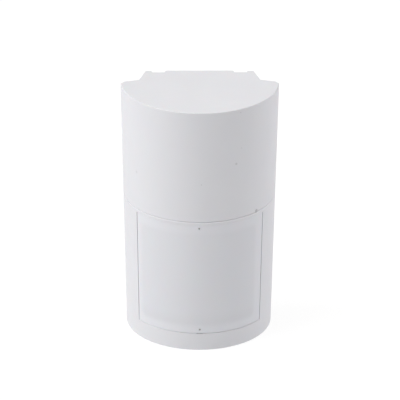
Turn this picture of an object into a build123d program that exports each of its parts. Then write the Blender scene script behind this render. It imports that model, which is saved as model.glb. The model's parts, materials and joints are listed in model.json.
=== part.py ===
from build123d import *
import math
import os

# Wall-mounted passive infrared motion sensor, battery powered.
# Millimetres. +Z up, the curved front looks along -Y, the wall is on the +Y side.
# Origin: bottom centre of the closed sensor's bounding box.

# ---------------------------------------------------------------- cover shell
HEIGHT = 108.2
DEPTH = 45.0
FRONT_RADIUS = 32.5
DRAFT_DEG = 1.25
WALL = 2.0
TOP_THICKNESS = 2.2
FLOOR_THICKNESS = 2.0
TOP_EDGE_ROUND = 0.3
BOTTOM_EDGE_ROUND = 0.5

WALL_Y = DEPTH / 2
AXIS_Y = FRONT_RADIUS - DEPTH / 2
DRAFT = math.tan(math.radians(DRAFT_DEG))

# Plan outline behind the front arc, as (x, y behind the front arc's axis)
ARC_END_Y = -2.0
SIDE_CORNER = (31.0, -0.1)
LEDGE_END = (24.9, 1.7)
REAR_CORNER = (22.3, 10.5)
SIDE_CORNER_ROUND = 1.0
COVER_REAR_Y = AXIS_Y + REAR_CORNER[1]
REAR_OPENING_HALF = 20.25

# Rear edge of the top plate
TONGUE_HALF = 13.7
TONGUE_Y = COVER_REAR_Y + 0.4
NOTCH_INNER_X = 14.4
NOTCH_OUTER_X = 19.4
NOTCH_FLOOR_Y = 19.1
NOTCH_END_SLOPE = 0.6

# Seam between the cover halves
SEAM_Z = 59.1
SEAM_GAP = 0.11
SEAM_CHAMFER = 0.28
COLLAR_HEIGHT = 3.0
COLLAR_THICKNESS = 1.0
COLLAR_HALF_ANGLE = 74.0
COLLAR_FIT = 0.1
COLLAR_ROOT = 0.8
COLLAR_DROP = 0.7

# ---------------------------------------------------------------- lens
LENS_BOTTOM_Z = 8.0
LENS_TOP_Z = 57.5
LENS_HALF_ANGLE = 55.5
LENS_SIDE_GAP = 0.28
LENS_END_GAP = 0.06
LENS_RECESS = 0.05
LENS_FLANGE = 0.9
LENS_FLANGE_WIDTH = 0.9
LENS_FLANGE_TOP = 0.8
LENS_EDGE_ROUND = 0.15
WINDOW_CHAMFER = 0.3
OPTIC_THICKNESS = 0.8
OPTIC_HALF_ANGLE = 49.0
OPTIC_BOTTOM_Z = 11.6
OPTIC_TOP_Z = 55.0
OPTIC_CORNER_ROUND = 4.0
PIN_HOLE_RADIUS = 0.42
PIN_HOLE_DEPTH = 0.9
PIN_HOLES = ((-0.4, 56.25), (0.0, 9.65))
PRY_SLOT_WIDTH = 2.7
PRY_SLOT_HEIGHT = 0.3
PRY_SLOT_DEPTH = 0.8

# Retainer that clamps the lens flange from inside
RETAINER_GAP = 0.05
RETAINER_THICKNESS = 1.6
RETAINER_HALF_ANGLE = 58.5
RETAINER_BOTTOM_Z = 5.2
RETAINER_TOP_Z = 58.4
RETAINER_OPEN_HALF_ANGLE = 50.5
RETAINER_OPEN_BOTTOM_Z = 10.6
RETAINER_OPEN_TOP_Z = 55.6
RETAINER_SCREW_ANGLE = 61.5
RETAINER_SCREW_ZS = (13.0, 49.0)
RETAINER_EAR_RADIUS = 2.2
RETAINER_EAR_RISE = 0.15
RETAINER_SCREW_RADIUS = 0.8
RETAINER_HEAD_RADIUS = 1.7
RETAINER_HEAD_HEIGHT = 1.2
RETAINER_SCREW_LENGTH = 3.4
RETAINER_BOSS_ROOT = 1.0
RETAINER_HOLE_FAR = 5.0
RETAINER_HOLE_NEAR = 0.9

# Screws that join the cover halves
JOIN_X = 24.0
JOIN_Y = AXIS_Y - 5.5
JOIN_BOSS_RADIUS = 3.0
JOIN_BOSS_BOTTOM_Z = 51.5
JOIN_BOSS_TOP_Z = 71.0
JOIN_SCREW_RADIUS = 1.0
JOIN_HOLE_RADIUS = 1.3
JOIN_PILOT_RADIUS = 1.05
JOIN_HEAD_RADIUS = 2.4
JOIN_HEAD_HEIGHT = 1.6
JOIN_SCREW_TOP_Z = 68.0
JOIN_RIB_LENGTH = 7.0
JOIN_WEB_LENGTH = 6.0
JOIN_RIB_HALF = 0.8

# Stiffening ribs inside the upper housing
RIB_ROOT = 0.4
RIB_HEIGHT = 1.2
RIB_HALF_ANGLE = 1.0
RIB_ANGLES = (-62, -38, 0, 38, 62)
RIB_BOTTOM_Z = 66.0

# Cross recesses in screw heads
RECESS_DEPTH = 0.7
RECESS_HALF = 0.25

# ---------------------------------------------------------------- hinge hooks
HINGE_Y = 18.9
HINGE_Z = 103.9
PIN_RADIUS = 1.2
CRADLE_RADIUS = 1.28
HOOK_RADIUS = 2.0
HOOK_TOP_Z = 105.2
HOOK_INNER_X = 14.7
HOOK_OUTER_X = 19.1
HANGER_INNER_X = 13.0
HANGER_THICKNESS = 1.3
HANGER_RADIUS = 1.7
HANGER_BRACE = 7.0
HANGER_BRACE_RADIUS = 2.0
HANGER_REAR = 0.4
HOOK_STEM_HALF = 1.6
HOOK_STEM_LENGTH = 6.5

# ---------------------------------------------------------------- base
BASE_HALF = 19.9
PLATE_THICKNESS = 1.6
PLATE_FRONT_Y = WALL_Y - PLATE_THICKNESS
PLATE_TOP_Z = 103.6
TRAY_BOTTOM_Z = 4.3
TRAY_TOP_Z = 94.0
TRAY_FRONT_Y = 15.4
TRAY_WALL = 1.5
WALL_HOLE_X = 10.0
WALL_HOLE_ZS = (10.5, 98.5)
WALL_HOLE_RADIUS = 2.1
WALL_HOLE_SINK_RADIUS = 4.0
PLATE_CORNER_ROUND = 1.5
TRAY_END_Y = 17.6
RIB_FRONT_Y = 19.2
RIB_THICKNESS = 1.2
CROSS_RIB_ZS = (32.0, 54.0, 76.0)
LONG_RIB_X = 7.0
LONG_RIB_BOTTOM_Z = 16.0
LABEL_RECESS = 0.5
LABEL_HALF = 13.0
LABEL_ZS = (26.0, 80.0)
LABEL_CORNER_ROUND = 3.0

# Cover screw at the bottom
LOCK_Y = 16.5
LOCK_HEAD_RADIUS = 2.8
LOCK_HEAD_BOTTOM_Z = 0.25
LOCK_HEAD_TOP_Z = 1.7
LOCK_SHANK_RADIUS = 1.42
LOCK_TIP_Z = 9.6
LOCK_PAD_TOP_Z = 3.5
LOCK_RECESS_TOP_Z = 1.9
LOCK_SLOT_HALF = 1.8
LOCK_RECESS_HALF = 3.3
LOCK_HEAD_ROUND = 0.5
LOCK_CROSS = (3.4, 0.7, 1.8)
LOCK_PAD_FRONT_Y = 11.0
LOCK_PAD_MARGIN = 2.2
LUG_BOTTOM_Z = 4.3
LUG_TOP_Z = 11.4
LUG_RADIUS = 3.8
INSERT_RADIUS = 2.3
INSERT_BORE_RADIUS = 1.5
INSERT_TOP_Z = 9.0

# ---------------------------------------------------------------- circuit board
BOARD_FRONT_Y = 13.0
BOARD_THICKNESS = 1.6
BOARD_REAR_Y = BOARD_FRONT_Y + BOARD_THICKNESS
BOARD_HALF = 19.2
BOARD_BOTTOM_Z = 15.5
BOARD_TOP_Z = 94.2
POST_X = 15.5
POST_ZS = (19.0, 91.2)
POST_RADIUS = 2.6
BOARD_HOLE_RADIUS = 1.3
BOARD_CORNER_ROUND = 1.2
POST_GUSSET_HALF = 4.4
POST_GUSSET_STEP = 1.5
POST_BORE_RADIUS = 0.9
POST_PIN_RADIUS = 1.1
POST_PIN_RISE = 0.8
BOARD_SCREW_RADIUS = 0.85
BOARD_SCREW_TIP_Y = 19.5
BOARD_HEAD_RADIUS = 2.3
BOARD_HEAD_HEIGHT = 1.5
SEAT = 0.02

SENSOR_Z = 40.0
SENSOR_RADIUS = 4.1
SENSOR_FLANGE_RADIUS = 4.65
SENSOR_HEIGHT = 4.1
SENSOR_SEAT = 0.1
SENSOR_FLANGE = 0.5
SENSOR_WINDOW_HALF = (2.0, 1.5)
SENSOR_WINDOW_DEPTH = 0.3
SENSOR_TAB = (0.5, 4.2, 5.6)
SENSOR_LEAD_RING = 2.54
SENSOR_LEAD_RADIUS = 0.23
SENSOR_LEAD_HOLE = 0.4
LEAD_TAIL = 1.2
GASKET_OUTER = 7.4
GASKET_INNER = 5.8
GASKET_HEIGHT = 2.6

LED_Z = 56.5
LED_RADIUS = 1.5
LED_HEIGHT = 5.2
LED_RIM = 0.35
LED_RIM_HEIGHT = 0.9

TAMPER_X = 13.0
TAMPER_Z = 64.8
TAMPER_BODY = 6.0
TAMPER_BODY_HEIGHT = 3.4
WELL_FLOOR = 0.6
TAMPER_PEG_OFFSET = 2.2
TAMPER_PEG_RADIUS = 0.45
TAMPER_PEG_RISE = 0.15
PLUNGER_RADIUS = 1.5
PLUNGER_NOSE_Y = -10.0
PLUNGER_COLLAR_Y = 3.4
PLUNGER_COLLAR_RADIUS = 2.6
PLUNGER_COLLAR = 1.0
PLUNGER_TAIL = 1.0
PLUNGER_TRAVEL = 1.4
SPRING_RADIUS = 2.15
SPRING_WIRE_RADIUS = 0.22
SPRING_TURNS = 5
SPRING_CLEARANCE = 0.1
POST_TO_PLUNGER = 0.2
POST_ARM = 2.2
POST_ARM_HALF = 0.6

LEARN_X = -13.0
LEARN_Z = 62.5
LEARN_RADIUS = 1.7
LEARN_TRAVEL = 0.35
LEARN_RISE = 1.5
LEARN_STOP_GAP = 0.15

DIP_X = -11.5
DIP_Z = 50.0
DIP_WIDTH = 11.6
DIP_HEIGHT = 6.2
DIP_DEPTH = 3.2
DIP_PITCH = 2.54
DIP_COUNT = 4
DIP_TRAVEL = 1.6
DIP_KNOB_HEIGHT = 1.5
DIP_KNOB_HALF = 0.6
DIP_KNOB_RISE = 0.5
DIP_KNOB_ROOT = 1.05
DIP_WINDOW_HALF_WIDTH = 0.75
DIP_WINDOW_DEPTH = 1.2
DIP_END_GAP = 0.15
DIP_WINDOW_HALF = (DIP_KNOB_HEIGHT + DIP_TRAVEL) / 2 + DIP_END_GAP

ANTENNA_X = -14.6
ANTENNA_BOTTOM_Z = 24.0
ANTENNA_STANDOFF = 3.4
ANTENNA_RADIUS = 2.2
ANTENNA_WIRE_RADIUS = 0.4
ANTENNA_PITCH = 1.7
ANTENNA_TURNS = 8

# Radio module: (x0, x1, z0, z1) of its board and its shield
RADIO_BOARD = (0.5, 18.5, 20.5, 32.2)
RADIO_BOARD_THICKNESS = 0.8
RADIO_SHIELD = (1.8, 13.6, 21.4, 31.4)
RADIO_SHIELD_HEIGHT = 2.2
SHIELD_CORNER_ROUND = 0.6
SHIELD_CHAMFER = 0.25
SHIELD_VENT_RADIUS = 0.4
SHIELD_VENT_DEPTH = 0.3
SHIELD_VENT_XS = (4.0, 7.7, 11.4)
SHIELD_VENT_ZS = (23.9, 26.4, 28.9)

CRYSTAL_X = -5.3
CRYSTAL_Z = 29.0
CRYSTAL_LENGTH = 10.6
CRYSTAL_WIDTH = 4.4
CRYSTAL_HALF_HEIGHT = 1.8
CRYSTAL_SEAT = 0.05

# Chips: (x, z, width, height, leads on each side)
MICRO = (6.6, 51.5, 6.4, 6.4, 8)
AMPLIFIER = (-12.6, 42.6, 3.9, 4.9, 4)
CHIP_HEIGHT = 1.2
CHIP_SEAT = 0.1
CHIP_MARK_RADIUS = 0.35
CHIP_MARK_INSET = 1.0
CHIP_LEAD_LENGTH = 0.9
CHIP_LEAD_THICKNESS = 0.15
CHIP_LEAD_SHARE = 0.25

# Surface-mount resistors and capacitors: (first x, first z, step x, step z, count, upright)
RESISTOR_ROWS = (
    (9.6, 38.0, 1.6, 0.0, 5, True),
    (1.4, 49.0, 0.0, 1.5, 4, False),
    (-10.0, 20.0, 2.6, 0.0, 4, False),
)
CAPACITOR_ROWS = (
    (9.6, 41.0, 1.6, 0.0, 5, True),
    (-2.6, 48.0, 0.0, 1.8, 4, False),
    (-10.0, 22.4, 2.6, 0.0, 4, False),
)
SMALL_PART_HALF = (0.8, 0.4)
SMALL_PART_HEIGHT = 0.45

CAPACITOR_PLACES = ((15.6, 56.4), (15.6, 47.4))
CAPACITOR_RADIUS = 2.5
CAPACITOR_HEIGHT = 6.2
CAPACITOR_BASE_HALF = 2.7
CAPACITOR_BASE_HEIGHT = 0.78
CAPACITOR_BASE_CHAMFER = 0.7

# Programming header: 2 rows of 3 pins
HEADER_X = 10.6
HEADER_Z = 62.0
HEADER_PITCH = 2.54
HEADER_HEIGHT = 2.5
HEADER_PIN_HALF = 0.32
HEADER_HOLE_HALF = 0.34
HEADER_PIN_LENGTH = 8.0
HEADER_BOARD_HOLE = 0.55

# ---------------------------------------------------------------- battery
BATTERY_RADIUS = 8.5
BATTERY_Y = 3.15
BATTERY_Z = 78.5
BATTERY_LEFT_X = -16.7
BATTERY_SHOULDER_X = 16.4
BATTERY_NUB_X = 17.4
BATTERY_NUB_RADIUS = 3.2
SLEEVE_THICKNESS = 0.2
HOLDER_HALF = 19.2
HOLDER_WALL = 1.2
HOLDER_CRADLE_RADIUS = 8.85
HOLDER_MARGIN = 0.9
HOLDER_FLOOR = 1.5
HOLDER_WING_HALF = 15.0
HOLDER_WING_RISE = 0.6
HOLDER_END_RISE = 2.5
HOLDER_END_HALF = 6.5
HOLDER_WINDOW_HALF = 9.0
HOLDER_WINDOW_DEPTH = 4.5
CONTACT_HALF = 3.4
CONTACT_RISE = 2.8
CONTACT_DEPTH = 5.6
CONTACT_FOLD_HALF = 2.4
CONTACT_FOLD = 0.28
POSITIVE_THICKNESS = 0.33
NEGATIVE_THICKNESS = 0.28
CONTACT_SPRING_RADII = (3.0, 2.3, 1.6)
CONTACT_SPRING_WIRE = 0.2
CONTACT_SPRING_RISE = 0.2
CONTACT_SPRING_Y = 1.6
CELL_END_ROUND = 0.6
SLEEVE_INSET = 0.7
INSULATOR_RADIUS = 7.2
INSULATOR_THICKNESS = 0.3

# Lengths for cutters that only have to reach past a face
FAR = 200.0
TOLERANCE = 0.02


# ---------------------------------------------------------------- helpers
def box(x0, x1, y0, y1, z0, z1):
    """Axis-aligned block between two corners."""
    centre = Pos((x0 + x1) / 2, (y0 + y1) / 2, (z0 + z1) / 2)
    return centre * Box(x1 - x0, y1 - y0, z1 - z0)


def rod_x(radius, x0, x1, y, z):
    """Round bar along X."""
    return Pos((x0 + x1) / 2, y, z) * Rot(0, 90, 0) * Cylinder(radius, x1 - x0)


def rod_y(radius, y0, y1, x, z):
    """Round bar along Y."""
    return Pos(x, (y0 + y1) / 2, z) * Rot(90, 0, 0) * Cylinder(radius, y1 - y0)


def rod_z(radius, z0, z1, x, y):
    """Round bar along Z."""
    return Pos(x, y, (z0 + z1) / 2) * Cylinder(radius, z1 - z0)


def both_sides(shape):
    """The shape and its mirror image across the centre plane."""
    return shape + mirror(shape, Plane.YZ)


def front_radius(z):
    """Outer radius of the front arc at a height."""
    return FRONT_RADIUS - (HEIGHT - z) * DRAFT


def front_sector(profile, half_angle):
    """Solid of revolution about the front arc's axis, centred on the front.

    profile is a list of (inset from the outer face, z)."""
    points = [(front_radius(z) - inset, z) for inset, z in profile]
    face = make_face(Plane.XZ * Polyline(*points, close=True))
    start = Rot(0, 0, -90 - half_angle) * face
    return Pos(0, AXIS_Y, 0) * revolve(start, Axis.Z, 2 * half_angle)


def shell_band(outer_inset, inner_inset, z0, z1, half_angle):
    """Curved panel between two insets that follows the drafted front."""
    corners = [(inner_inset, z0), (outer_inset, z0), (outer_inset, z1), (inner_inset, z1)]
    return front_sector(corners, half_angle)


def rim_edges(shape, z):
    """Edges along the front and sides at one height."""
    level = shape.edges().filter_by(lambda e: all(abs(v.Z - z) < TOLERANCE for v in e.vertices()))
    return level.filter_by(lambda e: e.center().Y < COVER_REAR_Y - 1)


def through_edges(shape):
    """Straight edges that run through a curved panel."""
    straight = shape.edges().filter_by(GeomType.LINE)
    return straight.filter_by(lambda e: abs(e.tangent_at(0).Z) < TOLERANCE)


def end_circle(shape, axis, which):
    """Circular edge at the low end (0) or high end (-1) of an axis."""
    return shape.edges().filter_by(GeomType.CIRCLE).sort_by(axis)[which]


def edges_in_plane(shape, y):
    """Edges that lie in one plane across Y."""
    return shape.edges().filter_by(lambda e: abs(e.center().Y - y) < TOLERANCE)


def span(side, inner, outer):
    """The pair of x values between two distances on one side of the centre plane."""
    return sorted((side * inner, side * outer))


def radial(angle_deg, z):
    """Location on the front axis whose local -Y points out at the given angle."""
    return Pos(0, AXIS_Y, z) * Rot(0, 0, angle_deg)


# ---------------------------------------------------------------- cover outline
def outline(radius, inset):
    """Plan outline of the cover for one front radius, moved inwards by inset."""
    shrink = FRONT_RADIUS - radius
    arc_x = math.sqrt(radius**2 - ARC_END_Y**2)
    right = [
        (arc_x, ARC_END_Y),
        (SIDE_CORNER[0] - shrink, SIDE_CORNER[1]),
        LEDGE_END,
        REAR_CORNER,
    ]
    left = [(-x, y) for x, y in reversed(right)]
    front = ThreePointArc(left[-1], (0, -radius), right[0])
    face = make_face(Curve() + [front, Polyline(*right, *left)])
    if inset:
        return offset(face, amount=-inset, kind=Kind.INTERSECTION)
    corners = face.vertices().filter_by(lambda v: abs(v.Y - SIDE_CORNER[1]) < TOLERANCE)
    return fillet(corners, SIDE_CORNER_ROUND)


def drafted_solid(inset):
    """The cover's outline, drafted from base to top."""
    base = Pos(0, AXIS_Y, 0) * outline(front_radius(0), inset)
    top = Pos(0, AXIS_Y, HEIGHT) * outline(FRONT_RADIUS, inset)
    return loft([base.face(), top.face()], ruled=True)


def outer_solid():
    solid = drafted_solid(0)
    solid = fillet(rim_edges(solid, HEIGHT), TOP_EDGE_ROUND)
    return fillet(rim_edges(solid, 0), BOTTOM_EDGE_ROUND)


def cavity():
    """Inside of the cover, open at the back between the rear walls."""
    inside = drafted_solid(WALL)
    inside += box(-REAR_OPENING_HALF, REAR_OPENING_HALF, LOCK_Y, FAR, 0, HEIGHT)
    return inside & box(-FAR, FAR, -FAR, FAR, FLOOR_THICKNESS, HEIGHT - TOP_THICKNESS)


def join_boss(z0, z1, outer):
    """Screw boss tied to the side wall, on both sides."""
    boss = rod_z(JOIN_BOSS_RADIUS, z0, z1, JOIN_X, JOIN_Y)
    half = JOIN_RIB_HALF
    rib = box(JOIN_X, JOIN_X + JOIN_RIB_LENGTH, JOIN_Y - half, JOIN_Y + half, z0, z1)
    web = box(JOIN_X - half, JOIN_X + half, JOIN_Y, JOIN_Y + JOIN_WEB_LENGTH, z0, z1)
    return both_sides((boss + rib + web) & outer)


# ---------------------------------------------------------------- cover parts
def top_edge_shape(shape):
    """Add the rear tongue to the top plate and cut its two notches."""
    z0 = HEIGHT - TOP_THICKNESS
    shape += box(-TONGUE_HALF, TONGUE_HALF, COVER_REAR_Y - 1.0, TONGUE_Y, z0, HEIGHT)
    notch = Polyline(
        (NOTCH_INNER_X, NOTCH_FLOOR_Y),
        (NOTCH_OUTER_X, NOTCH_FLOOR_Y),
        (NOTCH_OUTER_X + NOTCH_END_SLOPE, COVER_REAR_Y + 1.0),
        (NOTCH_INNER_X - NOTCH_END_SLOPE, COVER_REAR_Y + 1.0),
        close=True,
    )
    cutter = Pos(0, 0, z0 - 1) * extrude(make_face(notch), TOP_THICKNESS + 2)
    return shape - both_sides(cutter)


def hinge_pins():
    """Pivot pins of the cover with the ribs that hang them from the top plate."""
    hanger_outer = HANGER_INNER_X + HANGER_THICKNESS
    top = HEIGHT - TOP_THICKNESS + 0.3
    front_y = HINGE_Y - HANGER_RADIUS
    far_y = HINGE_Y - HANGER_BRACE
    pin = rod_x(PIN_RADIUS, HANGER_INNER_X, REAR_OPENING_HALF + 0.4, HINGE_Y, HINGE_Z)
    disc = rod_x(HANGER_RADIUS, HANGER_INNER_X, hanger_outer, HINGE_Y, HINGE_Z)
    drop = box(HANGER_INNER_X, hanger_outer, front_y, HINGE_Y + HANGER_REAR, HINGE_Z, top)
    brace = box(HANGER_INNER_X, hanger_outer, far_y, front_y, HINGE_Z, top)
    brace -= rod_x(HANGER_BRACE_RADIUS, HANGER_INNER_X - 1, hanger_outer + 1, far_y, HINGE_Z)
    return both_sides(pin + disc + drop + brace)


def tamper_post(outer):
    """Cross-shaped post that holds the tamper plunger in while the cover is shut."""
    length = AXIS_Y - FRONT_RADIUS, PLUNGER_NOSE_Y - POST_TO_PLUNGER
    post = Part()
    for half_x, half_z in ((POST_ARM, POST_ARM_HALF), (POST_ARM_HALF, POST_ARM)):
        xs = TAMPER_X - half_x, TAMPER_X + half_x
        post += box(*xs, *length, TAMPER_Z - half_z, TAMPER_Z + half_z)
    return post & outer


def wall_ribs():
    """Vertical stiffening ribs on the inside of the front."""
    rib = shell_band(WALL - RIB_ROOT, WALL + RIB_HEIGHT, RIB_BOTTOM_Z, HEIGHT - 1, RIB_HALF_ANGLE)
    ribs = Part()
    for angle in RIB_ANGLES:
        ribs += Pos(0, AXIS_Y, 0) * Rot(0, 0, angle) * Pos(0, -AXIS_Y, 0) * rib
    return ribs


def upper_housing(outer, hollow):
    bottom = SEAM_Z + SEAM_GAP
    slab = box(-FAR, FAR, -FAR, FAR, bottom, HEIGHT)
    shape = (outer & slab) - hollow
    shape = top_edge_shape(shape)
    shape += hinge_pins()
    shape += tamper_post(outer & slab)
    shape += join_boss(bottom, JOIN_BOSS_TOP_Z, outer & slab)
    shape += wall_ribs()
    pilot = rod_z(JOIN_PILOT_RADIUS, bottom - 1, JOIN_SCREW_TOP_Z + 0.6, JOIN_X, JOIN_Y)
    return shape - both_sides(pilot)


def lock_slot():
    """Slot and head recess for the cover screw, both open at the back."""
    slot = rod_z(LOCK_SLOT_HALF, -1, LOCK_PAD_TOP_Z + 1, 0, LOCK_Y)
    slot += box(-LOCK_SLOT_HALF, LOCK_SLOT_HALF, LOCK_Y, FAR, -1, LOCK_PAD_TOP_Z + 1)
    recess = rod_z(LOCK_RECESS_HALF, -1, LOCK_RECESS_TOP_Z, 0, LOCK_Y)
    recess += box(-LOCK_RECESS_HALF, LOCK_RECESS_HALF, LOCK_Y, FAR, -1, LOCK_RECESS_TOP_Z)
    return slot + recess


def seam_collar():
    """Thin collar of the lower housing that laps inside the upper one."""
    inner = WALL + COLLAR_FIT + COLLAR_THICKNESS
    profile = [
        (inner, SEAM_Z - COLLAR_DROP),
        (WALL - COLLAR_ROOT, SEAM_Z - COLLAR_DROP),
        (WALL - COLLAR_ROOT, SEAM_Z),
        (WALL + COLLAR_FIT, SEAM_Z),
        (WALL + COLLAR_FIT, SEAM_Z + COLLAR_HEIGHT),
        (inner, SEAM_Z + COLLAR_HEIGHT),
    ]
    return front_sector(profile, COLLAR_HALF_ANGLE)


def gap_angle(gap):
    """Angle that a gap takes up at the front's outer face."""
    return math.degrees(gap / FRONT_RADIUS)


def lens_window():
    """Through opening for the lens."""
    half = LENS_HALF_ANGLE + gap_angle(LENS_SIDE_GAP / 2)
    z0 = LENS_BOTTOM_Z - LENS_END_GAP / 2
    z1 = LENS_TOP_Z + LENS_END_GAP / 2
    return shell_band(-1.0, WALL + 2.0, z0, z1, half)


def sill_bevel():
    """Bevel along the lower edge of the lens opening."""
    half = LENS_HALF_ANGLE + gap_angle(LENS_SIDE_GAP / 2)
    c = WINDOW_CHAMFER
    z0 = LENS_BOTTOM_Z - LENS_END_GAP / 2
    return front_sector([(-c, z0 - 2 * c), (c, z0), (-c, z0)], half)


def retainer_bosses():
    """Small bosses on the inner wall that take the retainer screws."""
    bosses = Part()
    for angle in (-RETAINER_SCREW_ANGLE, RETAINER_SCREW_ANGLE):
        for z in RETAINER_SCREW_ZS:
            back = front_radius(z) - WALL - LENS_FLANGE - RETAINER_GAP
            stub = rod_y(RETAINER_EAR_RADIUS, -front_radius(z) + RETAINER_BOSS_ROOT, -back, 0, 0)
            bosses += radial(angle, z) * stub
    return bosses


def retainer_screw_holes(radius, near_inset, far_inset):
    """Radial holes or shanks on the retainer screw positions."""
    rods = Part()
    for angle in (-RETAINER_SCREW_ANGLE, RETAINER_SCREW_ANGLE):
        for z in RETAINER_SCREW_ZS:
            near = -front_radius(z) + near_inset
            far = -front_radius(z) + far_inset
            rods += radial(angle, z) * rod_y(radius, near, far, 0, 0)
    return rods


def lower_housing(outer, hollow):
    slab = box(-FAR, FAR, -FAR, FAR, 0, SEAM_Z)
    shape = outer & slab
    shape = chamfer(rim_edges(shape, SEAM_Z), SEAM_CHAMFER)
    shape -= hollow
    half = LOCK_RECESS_HALF + LOCK_PAD_MARGIN
    shape += box(-half, half, LOCK_PAD_FRONT_Y, COVER_REAR_Y, FLOOR_THICKNESS / 2, LOCK_PAD_TOP_Z)
    shape -= lock_slot()
    shape += join_boss(JOIN_BOSS_BOTTOM_Z, SEAM_Z, outer & slab)
    shape -= both_sides(rod_z(JOIN_HOLE_RADIUS, JOIN_BOSS_BOTTOM_Z - 1, SEAM_Z + 1, JOIN_X, JOIN_Y))
    shape += seam_collar()
    shape += retainer_bosses()
    shape -= retainer_screw_holes(
        RETAINER_SCREW_RADIUS + RETAINER_GAP, RETAINER_HOLE_NEAR, RETAINER_HOLE_FAR
    )
    shape -= lens_window()
    shape -= sill_bevel()
    slot_z = LENS_BOTTOM_Z - PRY_SLOT_HEIGHT
    slot_y = AXIS_Y - front_radius(LENS_BOTTOM_Z)
    half = PRY_SLOT_WIDTH / 2
    return shape - box(-half, half, slot_y - 1, slot_y + PRY_SLOT_DEPTH, slot_z, LENS_BOTTOM_Z)


def fresnel_lens():
    z0 = LENS_BOTTOM_Z + LENS_END_GAP / 2
    z1 = LENS_TOP_Z - LENS_END_GAP / 2
    half = LENS_HALF_ANGLE - gap_angle(LENS_SIDE_GAP / 2)
    back = WALL + LENS_FLANGE
    panel = shell_band(LENS_RECESS, back, z0, z1, half)
    outside = panel.edges().filter_by(lambda e: on_front(e, LENS_RECESS))
    upright = outside.filter_by(lambda e: abs(e.tangent_at(0).Z) > 0.5)
    panel = fillet(upright, LENS_EDGE_ROUND)
    flange_half = half + gap_angle(LENS_FLANGE_WIDTH)
    panel += shell_band(
        WALL + RETAINER_GAP, back, z0 - LENS_FLANGE_WIDTH, z1 + LENS_FLANGE_TOP, flange_half
    )
    pocket = shell_band(
        LENS_RECESS + OPTIC_THICKNESS, back + 3, OPTIC_BOTTOM_Z, OPTIC_TOP_Z, OPTIC_HALF_ANGLE
    )
    panel -= fillet(through_edges(pocket), OPTIC_CORNER_ROUND)
    for x, z in PIN_HOLES:
        face_y = AXIS_Y - front_radius(z) + LENS_RECESS
        panel -= rod_y(PIN_HOLE_RADIUS, face_y - 1, face_y + PIN_HOLE_DEPTH, x, z)
    return panel


def on_front(edge, inset):
    """True for an edge that lies on the front surface at an inset."""
    middle = edge.position_at(0.5)
    radius = math.hypot(middle.X, middle.Y - AXIS_Y)
    return abs(radius - (front_radius(middle.Z) - inset)) < TOLERANCE


def lens_retainer():
    near = WALL + LENS_FLANGE + RETAINER_GAP
    far = near + RETAINER_THICKNESS
    frame = shell_band(near, far, RETAINER_BOTTOM_Z, RETAINER_TOP_Z, RETAINER_HALF_ANGLE)
    ears = retainer_screw_holes(RETAINER_EAR_RADIUS, near + RETAINER_EAR_RISE, far + RETAINER_EAR_RISE)
    opening = shell_band(
        near - 1, far + 1, RETAINER_OPEN_BOTTOM_Z, RETAINER_OPEN_TOP_Z, RETAINER_OPEN_HALF_ANGLE
    )
    opening = fillet(through_edges(opening), OPTIC_CORNER_ROUND)
    holes = retainer_screw_holes(RETAINER_SCREW_RADIUS + 0.1, near - 1, far + 1)
    return frame + ears - opening - holes


def retainer_screws():
    seat = WALL + LENS_FLANGE + RETAINER_GAP + RETAINER_THICKNESS + RETAINER_EAR_RISE
    tip = seat - RETAINER_SCREW_LENGTH
    head = seat + RETAINER_HEAD_HEIGHT
    shanks = retainer_screw_holes(RETAINER_SCREW_RADIUS, tip, seat + 0.2)
    heads = retainer_screw_holes(RETAINER_HEAD_RADIUS, seat + SEAT, head)
    screws = shanks + heads
    for angle in (-RETAINER_SCREW_ANGLE, RETAINER_SCREW_ANGLE):
        for z in RETAINER_SCREW_ZS:
            face = -front_radius(z) + head
            screws -= radial(angle, z) * cross_recess(face, 1.2 * RETAINER_HEAD_RADIUS)
    return screws


def cross_recess(face_y, size):
    """Cross slot for a screwdriver, sunk into a head whose face is at face_y, seen from +Y."""
    low = face_y - RECESS_DEPTH
    arm = box(-size / 2, size / 2, low, face_y + 1, -RECESS_HALF, RECESS_HALF)
    upright = box(-RECESS_HALF, RECESS_HALF, low, face_y + 1, -size / 2, size / 2)
    return arm + upright


def housing_screws():
    shank = rod_z(JOIN_SCREW_RADIUS, JOIN_BOSS_BOTTOM_Z - 0.5, JOIN_SCREW_TOP_Z, JOIN_X, JOIN_Y)
    low = JOIN_BOSS_BOTTOM_Z - JOIN_HEAD_HEIGHT
    head = rod_z(JOIN_HEAD_RADIUS, low, JOIN_BOSS_BOTTOM_Z - SEAT, JOIN_X, JOIN_Y)
    recess = cross_recess(0, 1.2 * JOIN_HEAD_RADIUS)
    head -= Pos(JOIN_X, JOIN_Y, low) * Rot(-90, 0, 0) * recess
    return both_sides(shank + head)


# ---------------------------------------------------------------- base
def hooks():
    """Open cradles on the base that carry the cover's pivot pins."""
    hook = rod_x(HOOK_RADIUS, HOOK_INNER_X, HOOK_OUTER_X, HINGE_Y, HINGE_Z)
    hook += box(
        HOOK_INNER_X, HOOK_OUTER_X, HINGE_Y - HOOK_RADIUS, HINGE_Y + HOOK_RADIUS, HINGE_Z, HOOK_TOP_Z
    )
    stem_y = HINGE_Y - HOOK_STEM_HALF
    hook += box(HOOK_INNER_X, HOOK_OUTER_X, stem_y, WALL_Y, HINGE_Z - HOOK_STEM_LENGTH, HINGE_Z)
    hook -= rod_x(CRADLE_RADIUS, HOOK_INNER_X - 1, HOOK_OUTER_X + 1, HINGE_Y, HINGE_Z)
    hook -= box(
        HOOK_INNER_X - 1,
        HOOK_OUTER_X + 1,
        HINGE_Y - CRADLE_RADIUS,
        HINGE_Y + CRADLE_RADIUS,
        HINGE_Z,
        HOOK_TOP_Z + 1,
    )
    return both_sides(hook)


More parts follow.
